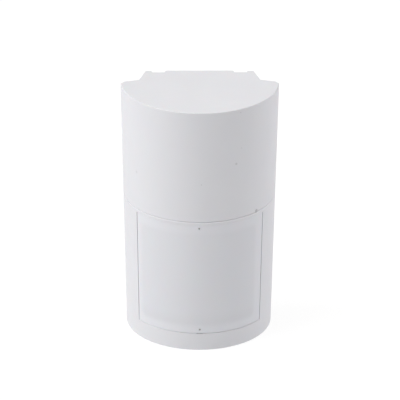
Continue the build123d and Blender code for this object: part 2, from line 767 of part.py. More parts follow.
def lock_lug():
    """Boss that holds the brass insert for the cover screw."""
    lug = rod_z(LUG_RADIUS, LUG_BOTTOM_Z, LUG_TOP_Z, 0, LOCK_Y)
    return lug + box(-LUG_RADIUS, LUG_RADIUS, LOCK_Y, PLATE_FRONT_Y + 0.5, LUG_BOTTOM_Z, LUG_TOP_Z)


def lug_bore():
    """Pocket for the insert and the screw's tip above it."""
    bore = rod_z(INSERT_RADIUS, LUG_BOTTOM_Z - 1, INSERT_TOP_Z, 0, LOCK_Y)
    return bore + rod_z(INSERT_BORE_RADIUS + 0.2, INSERT_TOP_Z - 1, LUG_TOP_Z - 0.8, 0, LOCK_Y)


def board_posts():
    """Standoffs for the board: two take screws, two have locating pins."""
    posts = Part()
    for x, z, has_screw in post_places():
        post = rod_y(POST_RADIUS, BOARD_REAR_Y, PLATE_FRONT_Y + 0.4, x, z)
        post += box(
            x - RIB_THICKNESS / 2,
            x + RIB_THICKNESS / 2,
            BOARD_REAR_Y + POST_GUSSET_STEP,
            PLATE_FRONT_Y + 0.4,
            z - POST_GUSSET_HALF,
            z + POST_GUSSET_HALF,
        )
        if has_screw:
            post -= rod_y(POST_BORE_RADIUS, BOARD_REAR_Y - 1, PLATE_FRONT_Y - 0.4, x, z)
        else:
            post += rod_y(POST_PIN_RADIUS, BOARD_FRONT_Y - POST_PIN_RISE, BOARD_REAR_Y + 1, x, z)
        posts += post
    return posts


def post_places():
    """(x, z, takes a screw) of each board standoff."""
    low, high = POST_ZS
    return [
        (-POST_X, low, True),
        (POST_X, low, False),
        (-POST_X, high, False),
        (POST_X, high, True),
    ]


def tray_walls():
    """Low walls around the plate."""
    root_y = PLATE_FRONT_Y + 0.5
    walls = Part()
    for side in (-1, 1):
        xs = span(side, BASE_HALF - TRAY_WALL, BASE_HALF)
        walls += box(*xs, TRAY_FRONT_Y, root_y, TRAY_BOTTOM_Z, TRAY_TOP_Z)
    for z in (TRAY_BOTTOM_Z, TRAY_TOP_Z - TRAY_WALL):
        walls += box(-BASE_HALF, BASE_HALF, TRAY_END_Y, root_y, z, z + TRAY_WALL)
    return walls


def plate_ribs():
    """Shallow grid of ribs on the plate's inner face."""
    root_y = PLATE_FRONT_Y + 0.5
    ribs = Part()
    for z in CROSS_RIB_ZS:
        ribs += box(-BASE_HALF, BASE_HALF, RIB_FRONT_Y, root_y, z, z + RIB_THICKNESS)
    for x in (-LONG_RIB_X, LONG_RIB_X):
        x0 = x - RIB_THICKNESS / 2
        ribs += box(x0, x0 + RIB_THICKNESS, RIB_FRONT_Y, root_y, LONG_RIB_BOTTOM_Z, TRAY_TOP_Z - 1)
    return ribs


def wall_holes():
    """Four wall-screw holes with room for the screw heads in front of the plate."""
    holes = Part()
    for x in (-WALL_HOLE_X, WALL_HOLE_X):
        for z in WALL_HOLE_ZS:
            holes += rod_y(WALL_HOLE_RADIUS, PLATE_FRONT_Y - 5, WALL_Y + 1, x, z)
            holes += rod_y(WALL_HOLE_SINK_RADIUS, PLATE_FRONT_Y - 5, PLATE_FRONT_Y, x, z)
    return holes


def rear_base():
    plate = box(-BASE_HALF, BASE_HALF, PLATE_FRONT_Y, WALL_Y, 0, PLATE_TOP_Z)
    plate = fillet(plate.edges().filter_by(Axis.Y), PLATE_CORNER_ROUND)
    plate += tray_walls()
    plate += plate_ribs()
    plate += hooks()
    plate -= wall_holes()
    plate += lock_lug()
    plate -= lug_bore()
    plate += board_posts()
    recess = box(-LABEL_HALF, LABEL_HALF, WALL_Y - LABEL_RECESS, WALL_Y + 1, *LABEL_ZS)
    recess = fillet(recess.edges().filter_by(Axis.Y), LABEL_CORNER_ROUND)
    return plate - recess


def threaded_insert():
    sleeve = rod_z(INSERT_RADIUS - SEAT, LUG_BOTTOM_Z, INSERT_TOP_Z - SEAT, 0, LOCK_Y)
    return sleeve - rod_z(INSERT_BORE_RADIUS, LUG_BOTTOM_Z - 1, INSERT_TOP_Z + 1, 0, LOCK_Y)


def cover_screw():
    head = rod_z(LOCK_HEAD_RADIUS, LOCK_HEAD_BOTTOM_Z, LOCK_HEAD_TOP_Z, 0, LOCK_Y)
    head = fillet(end_circle(head, Axis.Z, 0), LOCK_HEAD_ROUND)
    for turn in (0, 90):
        head -= Pos(0, LOCK_Y, LOCK_HEAD_BOTTOM_Z) * Rot(0, 0, turn) * Box(*LOCK_CROSS)
    shank = rod_z(LOCK_SHANK_RADIUS, LOCK_HEAD_TOP_Z - 0.2, LOCK_TIP_Z, 0, LOCK_Y)
    return head + chamfer(end_circle(shank, Axis.Z, -1), LOCK_HEAD_ROUND)


# ---------------------------------------------------------------- board and its parts
def circuit_board():
    board = box(-BOARD_HALF, BOARD_HALF, BOARD_FRONT_Y, BOARD_REAR_Y, BOARD_BOTTOM_Z, BOARD_TOP_Z)
    board = fillet(board.edges().filter_by(Axis.Y), BOARD_CORNER_ROUND)
    for x, z, _ in post_places():
        board -= rod_y(BOARD_HOLE_RADIUS, BOARD_FRONT_Y - 1, BOARD_REAR_Y + 1, x, z)
    for x, z in sensor_lead_places():
        board -= rod_y(SENSOR_LEAD_HOLE, BOARD_FRONT_Y - 1, BOARD_REAR_Y + 1, x, z)
    for x, z in header_places():
        board -= rod_y(HEADER_BOARD_HOLE, BOARD_FRONT_Y - 1, BOARD_REAR_Y + 1, x, z)
    return board


def board_screws():
    screws = Part()
    for x, z, has_screw in post_places():
        if has_screw:
            face_y = BOARD_FRONT_Y - BOARD_HEAD_HEIGHT
            screw = rod_y(BOARD_HEAD_RADIUS, face_y, BOARD_FRONT_Y - SEAT, x, z)
            screw += rod_y(BOARD_SCREW_RADIUS, BOARD_FRONT_Y - 0.5, BOARD_SCREW_TIP_Y, x, z)
            slot = mirror(cross_recess(0, 1.2 * BOARD_HEAD_RADIUS), Plane.XZ)
            screw -= Pos(x, face_y, z) * slot
            screws += screw
    return screws


def sensor_lead_places():
    """Three leads on a circle, a quarter turn apart."""
    places = []
    for angle in (45, 135, 225):
        turn = math.radians(angle)
        places.append((SENSOR_LEAD_RING * math.cos(turn), SENSOR_Z + SENSOR_LEAD_RING * math.sin(turn)))
    return places


def pir_sensor():
    base_y = BOARD_FRONT_Y - SENSOR_SEAT
    top_y = base_y - SENSOR_HEIGHT
    can = rod_y(SENSOR_RADIUS, top_y, base_y, 0, SENSOR_Z)
    can = fillet(end_circle(can, Axis.Y, 0), SENSOR_FLANGE)
    can += rod_y(SENSOR_FLANGE_RADIUS, base_y - SENSOR_FLANGE, base_y, 0, SENSOR_Z)
    tab_half, tab_start, tab_end = SENSOR_TAB
    zs = SENSOR_Z - tab_end, SENSOR_Z - tab_start
    can += box(-tab_half, tab_half, base_y - SENSOR_FLANGE, base_y, *zs)
    return can - sensor_pane(top_y - 1, top_y + SENSOR_WINDOW_DEPTH, 0)


def sensor_pane(y0, y1, gap):
    """Rectangular window of the sensor between two depths, shrunk by a gap."""
    half_x, half_z = SENSOR_WINDOW_HALF
    xs = gap - half_x, half_x - gap
    return box(*xs, y0, y1, SENSOR_Z - half_z + gap, SENSOR_Z + half_z - gap)


def pir_sensor_window():
    top_y = BOARD_FRONT_Y - SENSOR_SEAT - SENSOR_HEIGHT
    return sensor_pane(top_y + 2 * SEAT, top_y + SENSOR_WINDOW_DEPTH - SEAT, SEAT)


def pir_sensor_leads():
    leads = Part()
    for x, z in sensor_lead_places():
        start_y = BOARD_FRONT_Y - SENSOR_SEAT + SEAT
        leads += rod_y(SENSOR_LEAD_RADIUS, start_y, BOARD_REAR_Y + LEAD_TAIL, x, z)
    return leads


def sensor_gasket():
    """Foam ring that keeps insects and draughts off the sensor."""
    y0 = BOARD_FRONT_Y - GASKET_HEIGHT
    y1 = BOARD_FRONT_Y - SEAT
    return rod_y(GASKET_OUTER, y0, y1, 0, SENSOR_Z) - rod_y(GASKET_INNER, y0 - 1, y1 + 1, 0, SENSOR_Z)


def status_led():
    y1 = BOARD_FRONT_Y - SEAT
    body = rod_y(LED_RADIUS, y1 - LED_HEIGHT + LED_RADIUS, y1, 0, LED_Z)
    body += Pos(0, y1 - LED_HEIGHT + LED_RADIUS, LED_Z) * Sphere(LED_RADIUS)
    return body + rod_y(LED_RADIUS + LED_RIM, y1 - LED_RIM_HEIGHT, y1, 0, LED_Z)


def tact_body(x, z, bore):
    """Square push-switch body with a round well for its plunger."""
    half = TAMPER_BODY / 2
    y0 = BOARD_FRONT_Y - TAMPER_BODY_HEIGHT
    body = box(x - half, x + half, y0, BOARD_FRONT_Y - SEAT, z - half, z + half)
    body = fillet(body.edges().filter_by(Axis.Y), TAMPER_PEG_RADIUS)
    for dx in (-TAMPER_PEG_OFFSET, TAMPER_PEG_OFFSET):
        for dz in (-TAMPER_PEG_OFFSET, TAMPER_PEG_OFFSET):
            body += rod_y(TAMPER_PEG_RADIUS, y0 - TAMPER_PEG_RISE, y0 + 0.2, x + dx, z + dz)
    return body - rod_y(bore, y0 - 1, BOARD_FRONT_Y - WELL_FLOOR, x, z)


def tamper_switch():
    return tact_body(TAMPER_X, TAMPER_Z, PLUNGER_RADIUS + 0.1)


def tamper_plunger():
    """Long rod with a spring collar, held in by the cover's post."""
    tail = BOARD_FRONT_Y - TAMPER_BODY_HEIGHT + PLUNGER_TRAVEL + PLUNGER_TAIL
    rod = rod_y(PLUNGER_RADIUS, PLUNGER_NOSE_Y, tail, TAMPER_X, TAMPER_Z)
    rod = fillet(end_circle(rod, Axis.Y, 0), PLUNGER_RADIUS / 3)
    collar_end = PLUNGER_COLLAR_Y + PLUNGER_COLLAR
    collar = rod_y(PLUNGER_COLLAR_RADIUS, PLUNGER_COLLAR_Y, collar_end, TAMPER_X, TAMPER_Z)
    return rod + fillet(end_circle(collar, Axis.Y, 0), PLUNGER_COLLAR / 3)


def coil(radius, wire_radius, pitch, turns):
    """Round-wire helix up +Z, one turn at a time."""
    path = Helix(pitch=pitch, height=pitch, radius=radius)
    start = Plane(origin=path @ 0, z_dir=path % 0)
    turn = sweep(start * Circle(wire_radius), path=path)
    stack = turn
    for index in range(1, turns):
        stack += Pos(0, 0, index * pitch) * turn
    return stack


def tamper_spring():
    """Coil spring between the plunger's collar and the switch body."""
    margin = SPRING_WIRE_RADIUS + SPRING_CLEARANCE
    y0 = PLUNGER_COLLAR_Y + PLUNGER_COLLAR + margin
    y1 = BOARD_FRONT_Y - TAMPER_BODY_HEIGHT - TAMPER_PEG_RISE - margin
    spring = coil(SPRING_RADIUS, SPRING_WIRE_RADIUS, (y1 - y0) / SPRING_TURNS, SPRING_TURNS)
    return Pos(TAMPER_X, y1, TAMPER_Z) * Rot(90, 0, 0) * spring


def learn_switch():
    return tact_body(LEARN_X, LEARN_Z, LEARN_RADIUS + 0.1)


def learn_button():
    y0 = BOARD_FRONT_Y - TAMPER_BODY_HEIGHT - LEARN_RISE
    y1 = BOARD_FRONT_Y - WELL_FLOOR - LEARN_TRAVEL - LEARN_STOP_GAP
    button = rod_y(LEARN_RADIUS, y0, y1, LEARN_X, LEARN_Z)
    return fillet(end_circle(button, Axis.Y, 0), LEARN_RADIUS / 6)


def dip_slider_x(index):
    return DIP_X + (index - (DIP_COUNT - 1) / 2) * DIP_PITCH


def dip_switch():
    y0 = BOARD_FRONT_Y - DIP_DEPTH
    body = box(
        DIP_X - DIP_WIDTH / 2,
        DIP_X + DIP_WIDTH / 2,
        y0,
        BOARD_FRONT_Y - SEAT,
        DIP_Z - DIP_HEIGHT / 2,
        DIP_Z + DIP_HEIGHT / 2,
    )
    body = chamfer(edges_in_plane(body, y0), 2 * DIP_END_GAP)
    for index in range(DIP_COUNT):
        x = dip_slider_x(index)
        z0 = DIP_Z - DIP_WINDOW_HALF
        z1 = DIP_Z + DIP_WINDOW_HALF
        xs = x - DIP_WINDOW_HALF_WIDTH, x + DIP_WINDOW_HALF_WIDTH
        body -= box(*xs, y0 - 1, y0 + DIP_WINDOW_DEPTH, z0, z1)
    return body


def dip_slider(index):
    """One slider, at rest at the lower end of its window."""
    x = dip_slider_x(index)
    face_y = BOARD_FRONT_Y - DIP_DEPTH
    ys = face_y - DIP_KNOB_RISE, face_y + DIP_KNOB_ROOT
    z0 = DIP_Z - DIP_WINDOW_HALF + DIP_END_GAP
    slider = box(x - DIP_KNOB_HALF, x + DIP_KNOB_HALF, *ys, z0, z0 + DIP_KNOB_HEIGHT)
    return chamfer(edges_in_plane(slider, ys[0]), DIP_KNOB_HALF / 3)


def radio_board():
    x0, x1, z0, z1 = RADIO_BOARD
    board = box(x0, x1, BOARD_FRONT_Y - RADIO_BOARD_THICKNESS, BOARD_FRONT_Y - SEAT, z0, z1)
    return board - rod_y(POST_RADIUS + 0.2, 0, BOARD_FRONT_Y + 1, POST_X, POST_ZS[0])


def radio_shield():
    x0, x1, z0, z1 = RADIO_SHIELD
    y1 = BOARD_FRONT_Y - RADIO_BOARD_THICKNESS - SEAT
    y0 = y1 - RADIO_SHIELD_HEIGHT
    can = box(x0, x1, y0, y1, z0, z1)
    can = fillet(can.edges().filter_by(Axis.Y), SHIELD_CORNER_ROUND)
    can = chamfer(edges_in_plane(can, y0), SHIELD_CHAMFER)
    for x in SHIELD_VENT_XS:
        for z in SHIELD_VENT_ZS:
            can -= rod_y(SHIELD_VENT_RADIUS, y0 - 1, y0 + SHIELD_VENT_DEPTH, x, z)
    return can


def antenna():
    """Helical antenna that stands beside the board's left edge."""
    winding = coil(ANTENNA_RADIUS, ANTENNA_WIRE_RADIUS, ANTENNA_PITCH, ANTENNA_TURNS)
    return Pos(ANTENNA_X, BOARD_FRONT_Y - ANTENNA_STANDOFF, ANTENNA_BOTTOM_Z) * winding


def crystal():
    y = BOARD_FRONT_Y - CRYSTAL_HALF_HEIGHT - CRYSTAL_SEAT
    can = extrude(SlotOverall(CRYSTAL_LENGTH, CRYSTAL_WIDTH), CRYSTAL_HALF_HEIGHT, both=True)
    return Pos(CRYSTAL_X, y, CRYSTAL_Z) * Rot(90, 0, 0) * can


def chip(x, z, width, height, lead_count):
    """Surface-mount chip body with its leads on two sides, as (body, leads)."""
    y1 = BOARD_FRONT_Y - CHIP_SEAT
    y0 = y1 - CHIP_HEIGHT
    body = box(x - width / 2, x + width / 2, y0, y1, z - height / 2, z + height / 2)
    mark = x - width / 2 + CHIP_MARK_INSET, z + height / 2 - CHIP_MARK_INSET
    body -= rod_y(CHIP_MARK_RADIUS, y0 - 1, y0 + CHIP_SEAT, *mark)
    leads = Part()
    pitch = height / lead_count
    half = pitch * CHIP_LEAD_SHARE
    for index in range(lead_count):
        lead_z = z - height / 2 + (index + 0.5) * pitch
        for side in (-1, 1):
            near, far = span(side, width / 2 + SEAT, width / 2 + CHIP_LEAD_LENGTH)
            ys = y1 - CHIP_LEAD_THICKNESS, BOARD_FRONT_Y - SEAT
            leads += box(x + near, x + far, *ys, lead_z - half, lead_z + half)
    return body, leads


def microcontroller():
    return chip(*MICRO)[0]


def amplifier_chip():
    return chip(*AMPLIFIER)[0]


def chip_leads():
    return chip(*MICRO)[1] + chip(*AMPLIFIER)[1]


def small_parts(rows):
    """Rows of small rectangular surface-mount parts."""
    parts = Part()
    y1 = BOARD_FRONT_Y - SEAT
    y0 = y1 - SMALL_PART_HEIGHT
    for first_x, first_z, step_x, step_z, count, upright in rows:
        half_z, half_x = SMALL_PART_HALF if upright else reversed(SMALL_PART_HALF)
        for index in range(count):
            x = first_x + index * step_x
            z = first_z + index * step_z
            parts += box(x - half_x, x + half_x, y0, y1, z - half_z, z + half_z)
    return parts


def chip_resistors():
    return small_parts(RESISTOR_ROWS)


def chip_capacitors():
    return small_parts(CAPACITOR_ROWS)


def electrolytic_capacitors():
    base_y = BOARD_FRONT_Y - CAPACITOR_BASE_HEIGHT - 2 * SEAT
    cans = Part()
    for x, z in CAPACITOR_PLACES:
        can = rod_y(CAPACITOR_RADIUS, BOARD_FRONT_Y - CAPACITOR_HEIGHT, base_y, x, z)
        cans += fillet(end_circle(can, Axis.Y, 0), CAPACITOR_RADIUS / 6)
    return cans


def capacitor_bases():
    y1 = BOARD_FRONT_Y - SEAT
    half = CAPACITOR_BASE_HALF
    bases = Part()
    for x, z in CAPACITOR_PLACES:
        block = box(x - half, x + half, y1 - CAPACITOR_BASE_HEIGHT, y1, z - half, z + half)
        bases += chamfer(block.edges().filter_by(Axis.Y), CAPACITOR_BASE_CHAMFER)
    return bases


def header_places():
    """Two rows of three programming pins."""
    places = []
    for column in (1, 2, 3):
        for row in (0, 1):
            places.append((HEADER_X - HEADER_PITCH * column, HEADER_Z + HEADER_PITCH * row))
    return places


def program_header():
    xs = [x for x, _ in header_places()]
    zs = [z for _, z in header_places()]
    edge = HEADER_PITCH / 2
    half = HEADER_HOLE_HALF
    y1 = BOARD_FRONT_Y - SEAT
    y0 = y1 - HEADER_HEIGHT
    block = box(min(xs) - edge, max(xs) + edge, y0, y1, min(zs) - edge, max(zs) + edge)
    for x, z in header_places():
        block -= box(x - half, x + half, y0 - 1, y1 + 1, z - half, z + half)
    return block


def program_pins():
    pins = Part()
    for x, z in header_places():
        ys = BOARD_FRONT_Y - HEADER_PIN_LENGTH, BOARD_REAR_Y + LEAD_TAIL
        half = HEADER_PIN_HALF
        pins += box(x - half, x + half, *ys, z - half, z + half)
    return pins


# ---------------------------------------------------------------- battery and holder
def battery_holder():
    y1 = BOARD_FRONT_Y - SEAT
    floor_y = BATTERY_Y + HOLDER_CRADLE_RADIUS - HOLDER_FLOOR
    half_z = HOLDER_CRADLE_RADIUS + HOLDER_MARGIN
    zs = BATTERY_Z - half_z, BATTERY_Z + half_z
    end_zs = BATTERY_Z - HOLDER_END_HALF, BATTERY_Z + HOLDER_END_HALF
    inner = HOLDER_HALF - HOLDER_WALL
    holder = box(-HOLDER_HALF, HOLDER_HALF, floor_y, y1, *zs)
    holder += box(-HOLDER_WING_HALF, HOLDER_WING_HALF, BATTERY_Y - HOLDER_WING_RISE, y1, *zs)
    for side in (-1, 1):
        holder += box(*span(side, inner, HOLDER_HALF), BATTERY_Y - HOLDER_END_RISE, y1, *end_zs)
    holder -= rod_x(HOLDER_CRADLE_RADIUS, -inner, inner, BATTERY_Y, BATTERY_Z)
    half = HOLDER_WINDOW_HALF
    window = box(-half, half, BATTERY_Y - 2, BATTERY_Y + HOLDER_WINDOW_DEPTH, zs[0] - 1, zs[1] + 1)
    return holder - fillet(window.edges().filter_by(Axis.Z), HOLDER_WALL)


def battery_contact(side, thickness):
    """Flat contact against a holder end wall, folded over the wall's front edge."""
    face_x = HOLDER_HALF - HOLDER_WALL - SEAT
    front_y = BATTERY_Y - CONTACT_RISE
    zs = BATTERY_Z - CONTACT_HALF, BATTERY_Z + CONTACT_HALF
    plate = box(*span(side, face_x - thickness, face_x), front_y, BATTERY_Y + CONTACT_DEPTH, *zs)
    zs = BATTERY_Z - CONTACT_FOLD_HALF, BATTERY_Z + CONTACT_FOLD_HALF
    xs = span(side, face_x - thickness, HOLDER_HALF - 0.2)
    return plate + box(*xs, front_y, front_y + CONTACT_FOLD, *zs)


def battery_contact_positive():
    return battery_contact(1, POSITIVE_THICKNESS)


def battery_contact_negative():
    """Contact plate with a flat spiral spring."""
    contact = battery_contact(-1, NEGATIVE_THICKNESS)
    face_x = HOLDER_WALL - HOLDER_HALF + SEAT + NEGATIVE_THICKNESS
    wire = CONTACT_SPRING_WIRE
    middle_y = BATTERY_Y + CONTACT_SPRING_Y
    for index, radius in enumerate(CONTACT_SPRING_RADII):
        x = face_x + wire / 2 + index * CONTACT_SPRING_RISE
        contact += Pos(x, middle_y, BATTERY_Z) * Rot(0, 90, 0) * Torus(radius, wire)
    top_z = BATTERY_Z + CONTACT_SPRING_RADII[0]
    xs = face_x - SEAT, face_x + 3 * CONTACT_SPRING_RISE
    return contact + box(*xs, middle_y - wire, middle_y + wire, BATTERY_Z, top_z)


def battery():
    radius = BATTERY_RADIUS - SLEEVE_THICKNESS
    cell = rod_x(radius, BATTERY_LEFT_X, BATTERY_SHOULDER_X, BATTERY_Y, BATTERY_Z)
    cell = fillet(cell.edges().filter_by(GeomType.CIRCLE), CELL_END_ROUND)
    nub = rod_x(BATTERY_NUB_RADIUS, BATTERY_SHOULDER_X - 0.5, BATTERY_NUB_X, BATTERY_Y, BATTERY_Z)
    return cell + fillet(end_circle(nub, Axis.X, -1), CELL_END_ROUND / 2)


def battery_sleeve():
    x0 = BATTERY_LEFT_X + SLEEVE_INSET
    x1 = BATTERY_SHOULDER_X - SLEEVE_INSET
    bore = BATTERY_RADIUS - SLEEVE_THICKNESS + SEAT / 2
    sleeve = rod_x(BATTERY_RADIUS, x0, x1, BATTERY_Y, BATTERY_Z)
    return sleeve - rod_x(bore, x0 - 1, x1 + 1, BATTERY_Y, BATTERY_Z)


def battery_insulator():
    """Insulating washer around the positive nub."""
    x0 = BATTERY_SHOULDER_X + SEAT
    ring = rod_x(INSULATOR_RADIUS, x0, x0 + INSULATOR_THICKNESS, BATTERY_Y, BATTERY_Z)
    return ring - rod_x(BATTERY_NUB_RADIUS + 0.1, x0 - 1, x0 + 1, BATTERY_Y, BATTERY_Z)


# ---------------------------------------------------------------- build
def sensor_parts():
    """Every node by name."""
    outer = outer_solid()
    hollow = cavity()
    parts = {
        "upper_housing": upper_housing(outer, hollow),
        "lower_housing": lower_housing(outer, hollow),
    }
    makers = [
        fresnel_lens,
        lens_retainer,
        retainer_screws,
        housing_screws,
        rear_base,
        threaded_insert,
        cover_screw,
        circuit_board,
        board_screws,
        pir_sensor,
        pir_sensor_window,
        pir_sensor_leads,
        sensor_gasket,
        status_led,
        tamper_switch,
        tamper_plunger,
        tamper_spring,
        learn_switch,
        learn_button,
        dip_switch,
        radio_board,
        radio_shield,
        antenna,
        crystal,
        microcontroller,
        amplifier_chip,
        chip_leads,
        chip_resistors,
        chip_capacitors,
        electrolytic_capacitors,
        capacitor_bases,
        program_header,
        program_pins,
        battery_holder,
        battery_contact_positive,
        battery_contact_negative,
        battery,
        battery_sleeve,
        battery_insulator,
    ]
    for maker in makers:
        parts[maker.__name__] = maker()
    for index in range(DIP_COUNT):
        parts[f"dip_slider_{index + 1}"] = dip_slider(index)
    return parts


os.makedirs("parts", exist_ok=True)
for name, shape in sensor_parts().items():
    export_step(shape, f"parts/{name}.step")
    print(name)
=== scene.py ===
"""Looks for the wall-mounted motion sensor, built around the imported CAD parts. Metres."""

import json
import math

import bpy
from mathutils import Matrix, Vector


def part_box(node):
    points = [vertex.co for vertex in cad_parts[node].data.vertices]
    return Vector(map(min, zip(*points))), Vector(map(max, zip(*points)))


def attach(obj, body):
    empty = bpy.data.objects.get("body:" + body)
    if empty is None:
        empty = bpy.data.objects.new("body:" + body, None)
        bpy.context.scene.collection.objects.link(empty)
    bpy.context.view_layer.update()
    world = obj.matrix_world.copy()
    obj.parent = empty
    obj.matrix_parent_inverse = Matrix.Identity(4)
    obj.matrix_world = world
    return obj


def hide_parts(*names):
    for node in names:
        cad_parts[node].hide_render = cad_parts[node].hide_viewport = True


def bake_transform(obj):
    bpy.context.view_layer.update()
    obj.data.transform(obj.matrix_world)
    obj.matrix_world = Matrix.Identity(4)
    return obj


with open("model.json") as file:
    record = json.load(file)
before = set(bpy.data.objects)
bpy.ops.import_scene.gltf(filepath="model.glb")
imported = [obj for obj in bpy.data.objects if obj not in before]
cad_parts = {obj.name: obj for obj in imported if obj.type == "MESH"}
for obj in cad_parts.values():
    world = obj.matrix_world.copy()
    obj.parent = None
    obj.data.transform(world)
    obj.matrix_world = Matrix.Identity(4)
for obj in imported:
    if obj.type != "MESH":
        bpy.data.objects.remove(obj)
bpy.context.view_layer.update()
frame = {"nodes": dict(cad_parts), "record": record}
MM = 0.001

# The curved front: its axis, its radius at the top and how fast it narrows downwards, in mm
FRONT_AXIS_Y = 10.0
FRONT_RADIUS = 32.5
FRONT_TOP_Z = 108.2
FRONT_DRAFT = 0.0218

# Lower edge of the seam, half its width, how far the painted highlight below it reaches, and how
# far below it the highlight is at its palest, in mm
SEAM_Z = 59.1
HALF_SEAM = 0.05
SEAM_HIGHLIGHT_REACH = 0.9
SEAM_HIGHLIGHT_FULL = 0.3 * SEAM_HIGHLIGHT_REACH

# Values that most of a noise lies between
NOISE_RANGE = (0.3, 0.7)

# Moulded surfaces: size in mm and spread of the colour's drift, of the scuffs, and of the gloss's
# drift. A tone is a factor on the material's own colour
DRIFT_SIZE = 22.0
DRIFT_SPREAD = 0.02
SCUFF_SIZE = 1.6
SCUFF_STRETCH = (1.0, 0.7, 0.12)
SCUFF_RANGE = (0.66, 0.74)
SCUFF_TONE = 0.93
SCUFF_GLOSS = 0.08
GLOSS_SIZE = 9.0
GLOSS_SPREAD = 0.04

# Metals: size and depth of the fine lines and size of the tarnish in mm, its tones, and how far
# the roughness drifts down and up
METAL_LINE_SIZE = 0.25
METAL_LINE_DEPTH = 0.003
TARNISH_SIZE = 4.0
TARNISH_TONES = (0.9, 1.06)
METAL_GLOSS = (0.07, 0.09)

# Housing: tones of the painted highlight under the seam, the specks and the scratches on top
SEAM_HIGHLIGHT_TONE = 1.1
SPECK_TONE = 0.42
SCRATCH_TONE = 0.86
SCRATCH_STRENGTH = 0.4
SCRATCH_STRETCH = (0.09, 1.4, 1.0)

# Dust and moulding specks on the front: angle round the axis, height, radius in mm, strength
SPECKS = (
    (47.2, 59.6, 1.1, 0.55),
    (27.1, 84.0, 0.72, 0.3),
    (-54.8, 75.8, 0.85, 0.16),
    (0.8, 76.1, 0.36, 0.3),
    (29.9, 106.6, 0.34, 0.35),
    (31.2, 90.6, 0.3, 0.3),
    (61.0, 51.6, 0.3, 0.3),
)

# Thin zone of the lens: its middle, half sizes, corner radius, and how far its edge fades outside
# and inside of its outline, in mm
THIN_MIDDLE = -0.9
THIN_MIDDLE_Z = 32.5
THIN_HALF_WIDTH = 28.5
THIN_HALF_HEIGHT = 21.9
THIN_CORNER = 3.0
THIN_FADE_OUTSIDE = 0.6
THIN_FADE_INSIDE = 2.2

# Where the thin zone lies between its darkest (0) and its palest tone (1), in the middle and at
# the sides, and where the change starts and ends, in mm from the middle
THIN_PALE_MIDDLE = 0.85
THIN_PALE_SIDE = 0.6
TONE_START = 4.0
TONE_END = 24.0

# Foot of the thin zone, a little darker still: where it starts, where it is full, and its strength
FOOT_START_Z = 18.0
FOOT_FULL_Z = 12.5
FOOT_STRENGTH = 0.25

# Tones of the lens: its thick rim, its thin zone and the foot of the thin zone
RIM_TONES = (1.03, 1.05)
DARKEST_TONE = 0.935
PALEST_TONE = 1.035
FOOT_TONE = 0.9

# Lens facets on the inner face: their grid, their rings, and how deep in the wall they start, in mm
FACET_WIDTH = 9.2
FACET_HEIGHT = 10.8
RING_PITCH = 0.6
RING_DEPTH = 0.12
INNER_FACE_DEPTH = (0.5, 0.7)

# Blind holes on the lens's middle line as (x, height), how far the lens's face lies behind the
# wall's, and how deep the plugs in the holes sit, in mm
LENS_HOLES = ((-0.4, 56.25), (0.0, 9.65))
LENS_RECESS = 0.05
PLUG_DEPTH = 0.25
# Outline of a plug as (radius, distance behind its tip), in mm
PLUG_OUTLINE = ((0.1, 0.0), (0.25, 0.02), (0.35, 0.06), (0.4, 0.14), (0.4, 0.6))
# Grey of the plugs: painted shade, standing in for the shade inside the blind holes
HOLE_SHADE_COLOUR = (0.5, 0.49, 0.45)

# Copper tracks under the solder mask: size of their patches, and the distance from a track's
# middle where its edge starts and ends, in mm, then tone, and height in mm
TRACK_PATCH_SIZE = 7.0
TRACK_EDGE = (0.17, 0.13)
TRACK_TONE = 1.55
TRACK_HEIGHT = 0.03

# Plated holes of the boards: spacing and radius in mm, and the share of places that have one
VIA_SPACING = 3.1
VIA_RADIUS = 0.42
VIA_SHARE = 0.4
VIA_COLOUR = (0.62, 0.6, 0.52)

# Cell's sleeve: where its second colour and the thin line beside it lie along X, in mm
BAND_X = 8.9
LINE_START_X = 8.2
LINE_END_X = 8.8
SLEEVE_FADE = 0.1
BAND_COLOUR = (0.62, 0.4, 0.16)
LINE_COLOUR = (0.75, 0.75, 0.74)

# Components with a printed outline, and those whose leads the outline has to clear
OUTLINED = (
    "radio_board",
    "crystal",
    "microcontroller",
    "amplifier_chip",
    "dip_switch",
    "tamper_switch",
    "learn_switch",
    "program_header",
)
CHIPS = ("microcontroller", "amplifier_chip")

# Printed outlines: width, height over the board, bevel and distance from the component, in mm
PRINT_WIDTH = 0.16
PRINT_PROUD = 0.018
PRINT_BEVEL = 0.01
PRINT_MARGIN = 0.3
CHIP_MARGIN = 1.2
# How far print and solder sink into the board, in mm
SUNK = 0.01

# Solder joint as (radius, height behind the board), and how far leads stand in from the outline
# of their node, in mm
SOLDER_OUTLINE = ((0.85, 0.0), (0.8, 0.12), (0.52, 0.34), (0.34, 0.62), (0.3, 0.86), (0.22, 0.92))
HEADER_PIN_INSET = 0.32
SENSOR_LEAD_INSET = 0.23
SWITCH_LEG_INSET = 0.8
CRYSTAL_LEG_INSET = 2.8

# Ends of the antenna coil: wire, its inset from the coil's outline, the bend towards the board,
# how far it goes in, and the solder round it as (radius, distance from the board's face), in mm
ANTENNA_WIRE_RADIUS = 0.36
ANTENNA_INSET = 0.04
ANTENNA_BEND_DEPTH = 0.9
ANTENNA_BEND_REACH = 0.5
ANTENNA_BEND_STEPS = 6
ANTENNA_END_SUNK = 0.1
FOOT_OUTLINE = ((0.38, -0.6), (0.5, -0.42), (0.8, -0.16), (0.95, -0.02))

# Tamper spring: radius of its wire in mm, turns, and how much its end coils close up
SPRING_WIRE_RADIUS = 0.22
SPRING_TURNS = 6.5
SPRING_END_EASE = 0.075
STEPS_PER_TURN = 40

# Polarity marks: inset from the can's rim, height over its top and depth in it in mm, then first
# angle and sweep in degrees
MARK_INSET = 0.45
MARK_PROUD = 0.012
MARK_SUNK = 0.02
MARK_START = 125
MARK_SWEEP = 110
MARK_STEPS = 12

